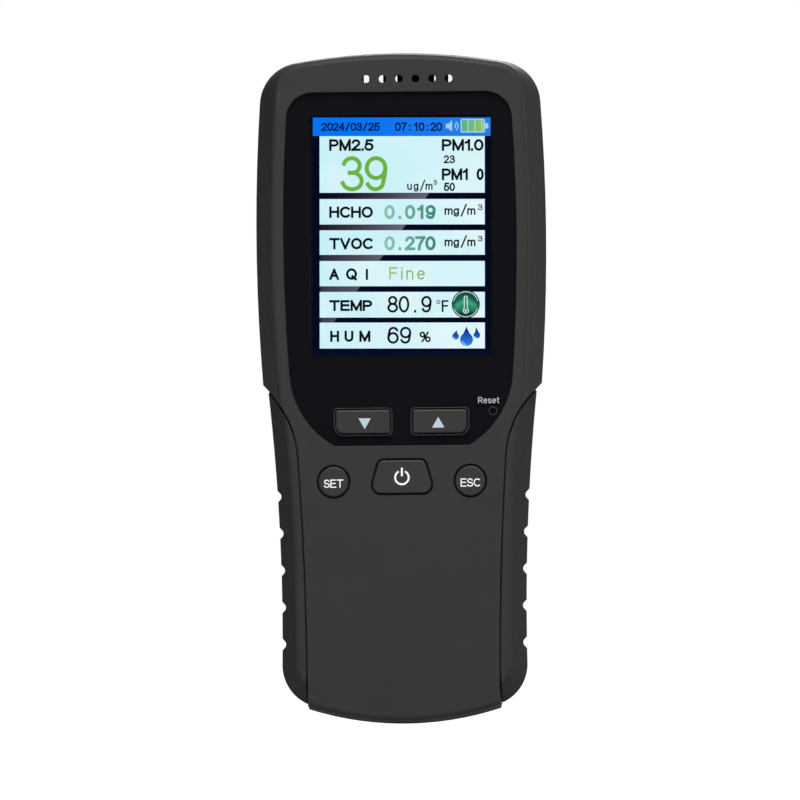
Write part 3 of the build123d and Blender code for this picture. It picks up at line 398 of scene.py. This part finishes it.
class Flat:
    """A thin piece facing the front, gathered from outlines and text and laid at one depth."""

    def __init__(self, name, depth_y, thick_mm=0.02):
        self.name = name
        self.depth_y = depth_y
        self.thick = thick_mm * MM
        self.mesh = bmesh.new()
        self.lift = 0.0

    def outline(self, points):
        """A filled outline given as (x, z) points in metres."""
        corners = [self.mesh.verts.new((x, self.depth_y - self.lift, z)) for x, z in points]
        face = self.mesh.faces.new(corners)
        face.normal_update()
        if face.normal.y > 0:
            face.normal_flip()
        return face

    def ring(self, centre, inner, outer, start=0.0, end=2 * math.pi, steps=40):
        """A ring or an arc of one, angles from +X towards +Z."""
        around = [start + (end - start) * step / steps for step in range(steps + 1)]
        for first, second in zip(around, around[1:]):
            points = []
            for radius, angle in ((inner, first), (outer, first), (outer, second), (inner, second)):
                points.append((centre[0] + radius * math.cos(angle), centre[1] + radius * math.sin(angle)))
            self.outline(points)

    def ribbon(self, points, width, closed=False):
        """A line of even width through (x, z) points, with square ends, broken at its sharp corners."""
        points = [Vector(point) for point in points]
        count = len(points)
        if not closed:
            for index in range(1, count - 1):
                arriving = (points[index] - points[index - 1]).normalized()
                leaving = (points[index + 1] - points[index]).normalized()
                if arriving.dot(leaving) < SHARPEST:
                    self.ribbon(points[:index + 1], width)
                    self.ribbon(points[index:], width)
                    return
            points[0] = points[0] - (points[1] - points[0]).normalized() * width / 2
            points[-1] = points[-1] + (points[-1] - points[-2]).normalized() * width / 2
        self.lift = STROKE_LIFT - self.lift
        sides = []
        for index, point in enumerate(points):
            before = points[index - 1] if index or closed else None
            after = points[(index + 1) % count] if index < count - 1 or closed else None
            arriving = (point - before).normalized() if before is not None else (after - point).normalized()
            leaving = (after - point).normalized() if after is not None else arriving
            along = (arriving + leaving).normalized()
            reach = width / 2 / along.dot(arriving)
            across = Vector((-along.y, along.x)) * reach
            sides.append((point + across, point - across))
        pairs = list(zip(sides, sides[1:])) + ([(sides[-1], sides[0])] if closed else [])
        for (left, right), (next_left, next_right) in pairs:
            self.outline([left, next_left, next_right, right])

    def text(self, body, low_x, high_x, low_z, high_z, weight, gap=2.4, pitch=None):
        """Single-line lettering stretched to fill a box.

        Letters stand gap apart, or, with a pitch, at even places; both are in the letters' own units.
        """
        strokes = []
        pen = 0.0
        for letter in body:
            width, paths = GLYPHS[letter]
            start = pen + (pitch - width) / 2 if pitch else pen
            for path in paths.split(";"):
                points, closed = trace(path)
                strokes.append(([(start + x, z) for x, z in points], closed))
            pen += pitch or width + gap
        every = [point for points, _ in strokes for point in points]
        left, right = min(x for x, _ in every), max(x for x, _ in every)
        bottom, top = min(z for _, z in every), max(z for _, z in every)
        inset = weight / 2
        scale_x = (high_x - low_x - weight) / max(right - left, 0.001)
        scale_z = (high_z - low_z - weight) / (top - bottom)
        for points, closed in strokes:
            placed = []
            for x, z in points:
                placed.append(
                    (low_x + inset + (x - left) * scale_x, low_z + inset + (z - bottom) * scale_z)
                )
            self.ribbon(placed, weight, closed)

    def lay(self, material, body="case"):
        """Gives the piece its thickness, towards the front, and hands it to a body."""
        bmesh.ops.remove_doubles(self.mesh, verts=self.mesh.verts, dist=MERGE_WITHIN)
        bmesh.ops.recalc_face_normals(self.mesh, faces=self.mesh.faces)
        data = bpy.data.meshes.new(self.name)
        self.mesh.to_mesh(data)
        self.mesh.free()
        for polygon in data.polygons:
            if polygon.normal.y > 0:
                polygon.flip()
        piece = bpy.data.objects.new(self.name, data)
        scene.collection.objects.link(piece)
        solid = piece.modifiers.new("thickness", "SOLIDIFY")
        solid.thickness = self.thick
        solid.offset = 1.0
        data.materials.append(material)
        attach(piece, body)
        return piece


# ---------------------------------------------------------------- the display's picture
lcd_low, lcd_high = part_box("lcd_panel")
PIXEL = 0.1793 * MM  # of the display modelled here, 240 columns by 320 rows
SCREEN_COLUMNS, SCREEN_ROWS = 240, 320
SCREEN_MARGIN = 3.02 * MM  # from the glass's top edge to the first row
SCREEN_LEFT = (lcd_low.x + lcd_high.x) / 2 - SCREEN_COLUMNS / 2 * PIXEL
SCREEN_TOP = lcd_high.z - SCREEN_MARGIN
SCREEN_Y = lcd_low.y - 0.01 * MM  # the picture's back layer, just in front of the glass
LAYER = 0.03 * MM  # from one layer of the picture to the next
SCREEN_TILT = math.radians(-0.45)  # the display sits very slightly askew in the case
SCREEN_MIDDLE = (SCREEN_LEFT + SCREEN_COLUMNS / 2 * PIXEL, SCREEN_TOP - SCREEN_ROWS / 2 * PIXEL)
CORNER_STEPS, DROP_STEPS = 4, 32


def at(column, row):
    """Where a column and row of the display are: x and z."""
    across, up = (column - SCREEN_COLUMNS / 2) * PIXEL, (SCREEN_ROWS / 2 - row) * PIXEL
    cosine, sine = math.cos(SCREEN_TILT), math.sin(SCREEN_TILT)
    return SCREEN_MIDDLE[0] + across * cosine - up * sine, SCREEN_MIDDLE[1] + across * sine + up * cosine


def box_points(left, top, right, bottom):
    """A box on the display."""
    return [at(left, bottom), at(right, bottom), at(right, top), at(left, top)]


def write(flat, body, left, top, right, bottom, weight, pitch=None, gap=2.4):
    """Text that fills a box on the display, turned with the display."""
    middle_x, middle_z = at((left + right) / 2, (top + bottom) / 2)
    half_width, half_height = (right - left) / 2 * PIXEL, (bottom - top) / 2 * PIXEL
    before = set(flat.mesh.verts)
    flat.text(body, -half_width, half_width, -half_height, half_height, weight * PIXEL, gap, pitch)
    cosine, sine = math.cos(SCREEN_TILT), math.sin(SCREEN_TILT)
    for vertex in flat.mesh.verts:
        if vertex not in before:
            x, z = vertex.co.x, vertex.co.z
            vertex.co.x, vertex.co.z = middle_x + x * cosine - z * sine, middle_z + x * sine + z * cosine


def rounded_points(left, top, right, bottom, radius):
    """A box on the display with rounded corners."""
    points = []
    for quarter, column, row in ((0, right, top), (1, left, top), (2, left, bottom), (3, right, bottom)):
        inboard = radius if column == left else -radius
        down = radius if row == top else -radius
        for step in range(CORNER_STEPS + 1):
            angle = math.radians(90 * (quarter + step / CORNER_STEPS))
            across, up = radius * math.cos(angle), radius * math.sin(angle)
            points.append(at(column + inboard + across, row + down - up))
    return points


def disc_points(centre, radius, steps=48):
    """A disc about a centre given as (x, z) in metres."""
    angles = [2 * math.pi / steps * step for step in range(steps)]
    return [(centre[0] + radius * math.cos(a), centre[1] + radius * math.sin(a)) for a in angles]


def drop_points(column, top, bottom, half_width, lean=0.0):
    """A water drop: a round belly under shoulders that run up to a point, leaning to one side."""
    radius = half_width * PIXEL
    height = (bottom - top) * PIXEL
    belly_x, belly_z = at(column, bottom - half_width)
    points = []
    for step in range(DROP_STEPS + 1):
        angle = math.radians(-235 + step * 290 / DROP_STEPS)
        points.append((belly_x + radius * math.cos(angle), belly_z + radius * math.sin(angle)))
    tip_z = belly_z - radius + height
    shoulder = points[-1][1]
    for side, share in ((1, 0.35), (1, 0.7), (0, 1.0), (-1, 0.7), (-1, 0.35)):
        reach = side * radius * 0.57 * (1 - share) ** 1.25
        points.append((belly_x + reach + lean * PIXEL * share, shoulder + (tip_z - shoulder) * share))
    return points


BAND_CORNER = (153.5, 106.5)  # a point of the light band's slanted end, as column and row
BAND_SLOPE = 213 / 160
BAND_WIDTH, BAND_BLUR = 26 * MM, 0.15 * MM


def backdrop_material():
    """The dark field behind the panels, with a lighter band that ends along a slanted line."""
    g = Graph("screen_field")
    x, z = g.axis(0), g.axis(2)
    corner_x, corner_z = at(*BAND_CORNER)
    lowered = g.math("DIVIDE", g.math("SUBTRACT", corner_z, z), BAND_SLOPE)
    past = g.math("ADD", g.math("SUBTRACT", x, corner_x), lowered)  # how far right of the slanted line
    band = g.spread(past, -BAND_WIDTH, -0.6 * MM)
    fade_down = g.spread(z, at(0, 290)[1], at(0, 150)[1], 0.45, 1.0)
    band = g.math("MULTIPLY", g.math("MULTIPLY", band, band), fade_down)
    inside = g.spread(past, BAND_BLUR, -BAND_BLUR)
    off_margin = g.spread(x, at(7, 0)[0], at(10, 0)[0])
    share = g.math("MULTIPLY", g.math("MULTIPLY", band, inside), off_margin)
    low_glow = g.spread(z, at(0, 320)[1], at(0, 312)[1], 1.0, 0.0)
    dark = g.mix(low_glow, linear(2, 7, 30), linear(3, 12, 44))
    return g.shine(g.mix(share, dark, linear(104, 100, 114)))


def panel_material():
    """Pale cyan, whiter towards the right and in a soft cloud near the top."""
    g = Graph("screen_panels")
    across = g.spread(g.axis(0), at(10, 0)[0], at(235, 0)[0])
    cloud = g.spread(g.noise(16.0, 2.0), 0.4, 0.65)
    share = g.math("ADD", g.math("MULTIPLY", across, 0.45), g.math("MULTIPLY", cloud, 0.45))
    return g.shine(g.mix(share, linear(202, 245, 249), linear(238, 255, 255)))


def bar_material():
    """Blue, paler to the right, with faint lines two rows apart."""
    g = Graph("screen_bar")
    across = g.spread(g.axis(0), at(60, 0)[0], at(240, 0)[0])
    wave = g.math("SINE", g.math("MULTIPLY", g.axis(2), 2 * math.pi / (2 * PIXEL)))
    colour = g.mix(across, linear(0, 118, 244), linear(38, 128, 230))
    return g.shine(colour, g.spread(wave, -1, 1, 0.95, 1.05))


def reading_material(name, first, last, left, right):
    """A lit area whose colour runs from first to last between two columns of the display."""
    g = Graph(name)
    return g.shine(g.mix(g.spread(g.axis(0), at(left, 0)[0], at(right, 0)[0]), first, last))


field = Flat("screen_field", SCREEN_Y)
field.outline(box_points(0, 0, SCREEN_COLUMNS, SCREEN_ROWS))
field.lay(backdrop_material())

PANEL_LEFT, PANEL_RIGHT = 9, 232
BAR_BOTTOM = 24.6
PANELS = [(25, 101.5), (110, 144.3), (152.2, 185.3), (193.7, 227.7), (235.4, 270), (276.8, 311.8)]
panels = Flat("screen_panels", SCREEN_Y - LAYER)
for top, bottom in PANELS:
    panels.outline(box_points(PANEL_LEFT, top, PANEL_RIGHT, bottom))
panels.lay(panel_material())

bar = Flat("screen_bar", SCREEN_Y - LAYER)
bar.outline(box_points(0, 0, SCREEN_COLUMNS, BAR_BOTTOM))
bar.lay(bar_material())

WRITING_Y = SCREEN_Y - 2 * LAYER
clock = Flat("screen_clock", WRITING_Y)
write(clock, "2024/03/25", 11.3, 6.5, 90.4, 18.3, 2.1, 7.6)
write(clock, "07:10:20", 110.9, 6.5, 174.7, 18.3, 2.1, 7.6)
clock.lay(glow("screen_navy", linear(4, 24, 84)))

# Each label, its box (left, top, right, bottom), its stroke's width and the pitch of its letters.
LABELS = [
    ("PM2.5", 22, 29.2, 82, 45, 3.2, None),
    ("PM1.0", 174.1, 29.2, 230.5, 45, 3.2, None),
    ("PM1", 174.1, 68.8, 209.3, 84.6, 3.2, None),
    ("0", 221, 68.8, 230.7, 84.6, 3.2, None),
    ("23", 176.7, 50.9, 191.9, 61.8, 2.0, None),
    ("50", 176.7, 88, 191.9, 99.4, 2.2, None),
    ("HCHO", 22, 120, 81, 135.4, 3.2, None),
    ("TVOC", 22, 162.5, 80.5, 177.9, 3.2, None),
    ("A", 22, 204.2, 35.2, 219.2, 3.2, None),
    ("Q", 44.5, 203.6, 59.5, 219.8, 3.2, None),
    ("I", 71.3, 204.2, 73.6, 219.2, 3.0, None),
    ("TEMP", 22, 246.4, 80, 261.2, 3.2, None),
    ("80.9", 100.3, 240.8, 160.3, 263.4, 3.0, 7.6),
    ("F", 173.8, 246.6, 183, 262.8, 2.4, None),
    ("H", 23.1, 287.8, 35.2, 302.8, 3.2, None),
    ("U", 42.5, 287.8, 54.5, 302.8, 3.2, None),
    ("M", 62.5, 287.8, 77.5, 302.8, 3.2, None),
    ("69", 100.3, 282.4, 132.7, 305.4, 3.0, 7.6),
    ("%", 143.8, 289, 159, 303.4, 2.3, None),
    ("mg|m", 177.7, 116.6, 219.5, 134, 2.1, 8.4),
    ("3", 222.4, 117.2, 229.2, 125, 1.3, None),
    ("mg|m", 177.7, 159, 219.5, 176.4, 2.1, 8.4),
    ("3", 222.4, 159.6, 229.2, 167.4, 1.3, None),
    ("ug|m", 127.3, 84, 161.6, 100.2, 1.8, 8.4),
    ("3", 162.8, 84.2, 167.6, 91, 1.2, None),
]
dark = Flat("screen_labels", WRITING_Y)
for body, left, top, right, bottom, weight, pitch in LABELS:
    write(dark, body, left, top, right, bottom, weight, pitch)
dark.ring(at(169.4, 249), 1.6 * PIXEL, 2.7 * PIXEL)  # the degree sign
dark.lay(glow("screen_ink", linear(5, 12, 20)))

green = Flat("screen_large_reading", WRITING_Y)
write(green, "39", 37.5, 52, 100.7, 99.7, 5.6, None, 1.4)
green.lay(glow("screen_green", linear(112, 184, 62)))

teal = Flat("screen_gas_readings", WRITING_Y)
write(teal, "0.019", 96.4, 118, 165.8, 137.2, 3.9, 7.8)
write(teal, "0.270", 96.4, 160.2, 165.8, 179.3, 3.9, 7.8)
teal_ink = reading_material("screen_teal", linear(140, 198, 176), linear(66, 140, 124), 98, 160)
teal.lay(teal_ink)

fine = Flat("screen_index_reading", WRITING_Y)
write(fine, "Fine", 103, 202, 151, 218.8, 2.0, None, 4.0)
lime_ink = reading_material("screen_lime", linear(158, 190, 84), linear(140, 178, 96), 103, 151)
fine.lay(lime_ink)

# Battery, loudspeaker, thermometer and drops.
pale = Flat("screen_icon_outlines", WRITING_Y)
pale.outline(rounded_points(199.5, 1.8, 232.5, 20.4, 2.0))
pale.outline(rounded_points(231.5, 7.6, 237, 14.9, 1.6))
SPEAKER = ((179.5, 8.5), (183, 8.5), (188, 3.6), (188, 19.2), (183, 14.6), (179.5, 14.6))
pale.outline([at(*corner) for corner in SPEAKER])
for radius in (3.6, 7.0):
    pale.ring(at(189.2, 11.4), (radius - 0.7) * PIXEL, (radius + 0.7) * PIXEL, -0.95, 0.95, 12)
pale.lay(glow("screen_pale", linear(166, 214, 246)))

charge = Flat("screen_battery_bars", WRITING_Y - LAYER)
for step in range(3):
    left = 201.2 + step * 9.2
    charge.outline(rounded_points(left, 3.4, left + 7.8, 18.8, 1.0))
charge.outline(rounded_points(228.6, 3.4, 231, 18.8, 0.9))
charge_ink = reading_material("screen_charge", linear(84, 178, 132), linear(150, 204, 74), 200, 232)
charge.lay(charge_ink)

DIAL = at(206.3, 252.2)
dial = Flat("screen_dial", WRITING_Y)
dial.outline(disc_points(DIAL, 19.0 * PIXEL))


def dial_material():
    """A glossy green ball: darker at the top and bottom, with brighter shoulders."""
    g = Graph("screen_dial")
    across = g.math("ABSOLUTE", g.math("SUBTRACT", g.axis(0), DIAL[0]))
    up = g.math("SUBTRACT", g.axis(2), DIAL[1])
    crest = g.math("ADD", up, g.math("MULTIPLY", across, 0.55))
    lower = g.spread(crest, -1.6 * MM, 0.9 * MM)
    above = g.spread(crest, 1.0 * MM, 2.2 * MM, 1.0, 0.15)
    shade = g.mix(g.math("MULTIPLY", lower, above), linear(3, 66, 62), linear(62, 166, 126))
    squares = g.math("ADD", g.math("POWER", across, 2.0), g.math("POWER", up, 2.0))
    rim = g.spread(g.math("POWER", squares, 0.5), 2.2 * MM, 3.2 * MM)
    return g.shine(g.mix(g.math("MULTIPLY", rim, 0.75), shade, linear(4, 44, 50)))


dial.lay(dial_material())
marks = Flat("screen_dial_marks", WRITING_Y - LAYER)
for first, last in ((0.25, math.pi - 0.25), (math.pi + 0.35, 2 * math.pi - 0.35)):
    marks.ring(DIAL, 16.4 * PIXEL, 17.4 * PIXEL, first, last)
bulb = (DIAL[0], DIAL[1] - 8.4 * PIXEL)
stem_low, stem_high = bulb[1] + 3 * PIXEL, DIAL[1] + 9 * PIXEL
half = 0.6 * PIXEL
marks.ring(bulb, 2.9 * PIXEL, 4.2 * PIXEL, math.radians(-242), math.radians(62))
for side in (-1, 1):
    x = DIAL[0] + side * 2.0 * PIXEL
    left, right = x - half, x + half
    marks.outline([(left, stem_low), (right, stem_low), (right, stem_high), (left, stem_high)])
marks.ring((DIAL[0], stem_high), 1.4 * PIXEL, 2.6 * PIXEL, 0, math.pi, 12)
marks.outline(disc_points(bulb, 1.7 * PIXEL, 16))
marks.lay(glow("screen_mark", linear(214, 240, 232)))


def drops_material():
    """Blue, darker towards the tips."""
    g = Graph("screen_drops")
    up = g.spread(g.axis(2), at(0, 306)[1], at(0, 288)[1])
    return g.shine(g.mix(up, linear(40, 122, 222), linear(6, 28, 146)))


drops = Flat("screen_drops", WRITING_Y)
drops.outline(drop_points(192.5, 286.7, 299.8, 4.5, 1.5))
drops.outline(drop_points(207.3, 281.8, 308.4, 8.7))
drops.outline(drop_points(221.2, 282.2, 298.4, 4.5, -1.0))
drops.lay(drops_material())
shine = Flat("screen_drop_lights", WRITING_Y - LAYER)
first, last = math.radians(190), math.radians(268)
for column, row, radius in ((207.3, 300.4, 6.2), (192.5, 296.2, 2.9), (221.2, 294.8, 2.9)):
    shine.ring(at(column, row), (radius - 0.6) * PIXEL, (radius + 0.6) * PIXEL, first, last, 10)
shine.lay(glow("screen_shine", linear(150, 214, 250)))

# ---------------------------------------------------------------- printed border and legends
BORDER_LIFT, PRINT_LIFT = 0.05 * MM, 0.005 * MM  # in front of the film, and of a key or the window
FRONT_FACING = -0.9  # a face's normal along Y, at most

# The dark print shows through the window. The film that carries it touches the window's back face, so a
# copy of its front stands a hair in front, where the two can't fight over one plane.
border = nodes["window_border"]
print_layer = Flat("border_print_layer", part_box("window_border")[0].y - BORDER_LIFT)
for polygon in border.data.polygons:
    if (border.matrix_world.to_3x3() @ polygon.normal).y < FRONT_FACING:
        corners = [border.matrix_world @ border.data.vertices[index].co for index in polygon.vertices]
        print_layer.outline([(corner.x, corner.z) for corner in corners])
print_layer.lay(MATERIALS["border_print"])

# The first three legends glow faintly, which is painted light, so that thin print stays legible.
white_print = moulded("white_print", linear(228, 230, 230), 0.55, 0.2, 0.003, 0.06, glow=0.55)
pale_print = moulded("pale_print", linear(176, 194, 202), 0.5, 0.2, 0.003, 0.06, glow=0.45)
dull_print = moulded("dull_print", linear(190, 190, 192), 0.55, 0.2, 0.003, 0.06, glow=0.45)
# Grey: the print of the reset ring, and the painted highlight on the window's cut edges round the keys.
grey_print_and_highlight = moulded("grey_print_and_highlight", linear(92, 93, 98), 0.5, 0.2, 0.003, 0.1)
WORD_WIDTH, WORD_HEIGHT, WORD_DROP, WORD_WEIGHT = 4.7 * MM, 2.0 * MM, 0.45 * MM, 0.27 * MM
ARROW_HALF_WIDTH, ARROW_HALF_HEIGHT, ARROW_INBOARD = 1.5 * MM, 1.3 * MM, 0.4 * MM
ARROW_DROP = {"down": 0.45 * MM, "up": 0.25 * MM}  # below the key's middle


def key_face(name):
    """Centre x, print y and centre z of a key's cap."""
    low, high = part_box(name)
    return (low.x + high.x) / 2, low.y - PRINT_LIFT, (low.z + high.z) / 2


for name, word in (("set", "SET"), ("esc", "ESC")):
    x, y, z = key_face(f"{name}_button")
    legend = Flat(f"{name}_legend", y)
    left, low_z = x - WORD_WIDTH / 2, z - WORD_DROP - WORD_HEIGHT / 2
    legend.text(word, left, left + WORD_WIDTH, low_z, low_z + WORD_HEIGHT, WORD_WEIGHT, 1.9)
    legend.lay(white_print, f"{name}_key")

for name, direction in (("down", -1), ("up", 1)):
    x, y, z = key_face(f"{name}_button")
    x -= ARROW_INBOARD * direction
    middle = z - ARROW_DROP[name]
    tip, base = middle + direction * ARROW_HALF_HEIGHT, middle - direction * ARROW_HALF_HEIGHT
    arrow = Flat(f"{name}_legend", y)
    arrow.outline([(x, tip), (x - ARROW_HALF_WIDTH, base), (x + ARROW_HALF_WIDTH, base)])
    arrow.lay(pale_print, f"{name}_key")

x, y, z = key_face("power_button")
icon = Flat("power_legend", y)
icon_z = z - 0.2 * MM
icon.ring((x, icon_z), 1.42 * MM, 1.86 * MM, math.radians(-242), math.radians(62))
half, low_z, high_z = 0.24 * MM, icon_z + 0.3 * MM, icon_z + 2.35 * MM
icon.outline([(x - half, low_z), (x + half, low_z), (x + half, high_z), (x - half, high_z)])
icon.lay(white_print, "power_key")

# The window's cut edges round the two keys catch the light. A thin grey line laid on the window's front
# stands for that: a painted highlight. A key's box includes its hidden flange, so the opening is that box
# drawn in by OPENING_INSET. Its low corner away from the middle curves the most.
OPENING_INSET, EDGE_WIDTH = 0.45 * MM, 0.12 * MM
OPENING_R, OPENING_WIDE_R, OPENING_STEPS = 1.0 * MM, 2.35 * MM, 6
window_print_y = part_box("display_window")[0].y - PRINT_LIFT
for name, side in (("down", -1), ("up", 1)):
    low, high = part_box(f"{name}_button")
    cut = Flat(f"{name}_opening_edge", window_print_y)
    points = []
    for quarter, x, z in ((0, high.x, high.z), (1, low.x, high.z), (2, low.x, low.z), (3, high.x, low.z)):
        outer = z == low.z and (x == low.x) == (side < 0)
        radius = OPENING_WIDE_R if outer else OPENING_R
        middle_x = x + (OPENING_INSET + radius) * (1 if x == low.x else -1)
        middle_z = z + (OPENING_INSET + radius) * (1 if z == low.z else -1)
        for step in range(OPENING_STEPS + 1):
            angle = math.radians(90 * (quarter + step / OPENING_STEPS))
            points.append((middle_x + radius * math.cos(angle), middle_z + radius * math.sin(angle)))
    # The opening's edge as a thin grey line: a painted highlight.
    cut.ribbon(points, EDGE_WIDTH, closed=True)
    cut.lay(grey_print_and_highlight)

HOLE_OFFSET = 0.3 * MM  # the pinhole stands this far to the right of the reset switch's middle
RESET_LEFT, RESET_RIGHT, RESET_LOW, RESET_HIGH = -3.6 * MM, 1.5 * MM, 1.85 * MM, 3.35 * MM
switch_low, switch_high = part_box("reset_switch")
x, z = (switch_low.x + switch_high.x) / 2 + HOLE_OFFSET, (switch_low.z + switch_high.z) / 2
reset = Flat("reset_legend", window_print_y)
reset.text("Reset", x + RESET_LEFT, x + RESET_RIGHT, z + RESET_LOW, z + RESET_HIGH, 0.16 * MM)
reset.lay(dull_print)
ring = Flat("reset_ring", window_print_y)
ring.ring((x, z), 0.88 * MM, 0.98 * MM)
ring.lay(grey_print_and_highlight)

# ---------------------------------------------------------------- floor, light and camera
FLOOR_HALF = 3.0
WHITE = (1, 1, 1, 1)
PAPER_LIGHT, PAPER_SHARE = 1.25, 0.88  # what the camera sees of the floor
FLOOR_GREY, FLOOR_LIGHT = 0.2, 0.16  # what the object gets from the floor
AMBIENT = 0.055


def studio_white():
    """White to the camera, dimmer to everything else, so the sides of the object keep their shape."""
    g = Graph("studio_floor")
    seen = g.node("ShaderNodeLightPath").outputs["Is Camera Ray"]
    paper_colour = g.mix(g.noise(60.0), (0.5, 0.5, 0.5, 1), (0.52, 0.52, 0.52, 1))
    paper = g.node("ShaderNodeBsdfDiffuse", {"Color": paper_colour}).outputs[0]
    bright = g.node("ShaderNodeEmission", {"Color": WHITE, "Strength": PAPER_LIGHT}).outputs[0]
    camera_look = g.node("ShaderNodeMixShader", {0: PAPER_SHARE, 1: paper, 2: bright}).outputs[0]
    matt = g.node("ShaderNodeBsdfDiffuse", {"Color": (*[FLOOR_GREY] * 3, 1)}).outputs[0]
    faint = g.node("ShaderNodeEmission", {"Color": WHITE, "Strength": FLOOR_LIGHT}).outputs[0]
    dim = g.node("ShaderNodeAddShader", {0: matt, 1: faint}).outputs[0]
    return g.finish(g.node("ShaderNodeMixShader", {0: seen, 1: dim, 2: camera_look}).outputs[0])


floor_mesh = bmesh.new()
bmesh.ops.create_grid(floor_mesh, x_segments=8, y_segments=8, size=FLOOR_HALF)
floor_data = bpy.data.meshes.new("studio_floor")
floor_mesh.to_mesh(floor_data)
floor_mesh.free()
floor_data.materials.append(studio_white())
floor = bpy.data.objects.new("studio_floor", floor_data)
scene.collection.objects.link(floor)
floor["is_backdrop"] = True

world = bpy.data.worlds.new("studio")
world.use_nodes = True
tree = world.node_tree
tree.nodes.clear()
path = tree.nodes.new("ShaderNodeLightPath")
choose = tree.nodes.new("ShaderNodeMixShader")
out = tree.nodes.new("ShaderNodeOutputWorld")
tree.links.new(path.outputs["Is Camera Ray"], choose.inputs[0])
for socket, strength in ((1, AMBIENT), (2, 1.0)):  # to the object, and to the camera
    sky = tree.nodes.new("ShaderNodeBackground")
    sky.inputs[0].default_value = WHITE
    sky.inputs[1].default_value = strength
    tree.links.new(sky.outputs[0], choose.inputs[socket])
tree.links.new(choose.outputs[0], out.inputs[0])
scene.world = world

centre = (cad_low + cad_high) / 2


def soft_light(name, direction, distance, size, power):
    """A rectangular softbox that faces the object from the given direction."""
    lamp = bpy.data.lights.new(name, "AREA")
    lamp.shape = "RECTANGLE"
    lamp.size, lamp.size_y = size
    lamp.energy = power
    holder = bpy.data.objects.new(name, lamp)
    away = Vector(direction).normalized()
    holder.location = centre + away * distance
    holder.rotation_mode = "QUATERNION"
    holder.rotation_quaternion = away.to_track_quat("Z", "Y")
    scene.collection.objects.link(holder)
    holder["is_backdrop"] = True
    return holder


soft_light("key", (0.1, -1.0, 0.9), 1.3, (0.9, 0.9), 9.6)
fill = soft_light("fill", (-0.1, -1.0, 0.14), 1.5, (0.9, 0.36), 2.6)
fill.visible_glossy = False  # it stands where the window would mirror it
behind = soft_light("behind", (0.1, 1.0, 0.6), 1.4, (0.45, 0.45), 5.0)
behind.visible_camera = False  # it stands in view of a camera in front
soft_light("top", (0.1, -0.25, 1.0), 1.1, (0.7, 0.5), 2.8)
soft_light("rim", (1.0, 0.35, 0.1), 1.0, (0.3, 0.9), 1.9)

# The camera stands far off, a little to the right, and is turned slightly about its own axis.
CAMERA_YAW, CAMERA_ROLL = 1.2, 0.5
LENS, SENSOR = 1500.0, 36.0
FRAME_PIXELS, OBJECT_PIXELS = 800, 670.5
OBJECT_UP, OBJECT_RIGHT = 11.6, 2.6  # the object's centre from the frame's centre, in frame pixels
field_height = (cad_high.z - cad_low.z) * FRAME_PIXELS / OBJECT_PIXELS
distance = field_height * LENS / SENSOR
yaw, roll = math.radians(CAMERA_YAW), math.radians(CAMERA_ROLL)
back = Vector((math.sin(yaw), -math.cos(yaw), 0))
camera = bpy.data.objects.new("camera", bpy.data.cameras.new("camera"))
camera.data.lens, camera.data.sensor_width = LENS, SENSOR
camera.data.clip_start, camera.data.clip_end = 0.05, 50
facing = (-back).to_track_quat("-Z", "Y").to_matrix() @ Matrix.Rotation(-roll, 3, "Z")
right, up = facing.col[0], facing.col[1]
step = field_height / FRAME_PIXELS
camera.location = centre + back * distance - up * OBJECT_UP * step - right * OBJECT_RIGHT * step
camera.rotation_mode = "QUATERNION"
camera.rotation_quaternion = facing.to_quaternion()
scene.collection.objects.link(camera)
scene.camera = camera

low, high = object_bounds()
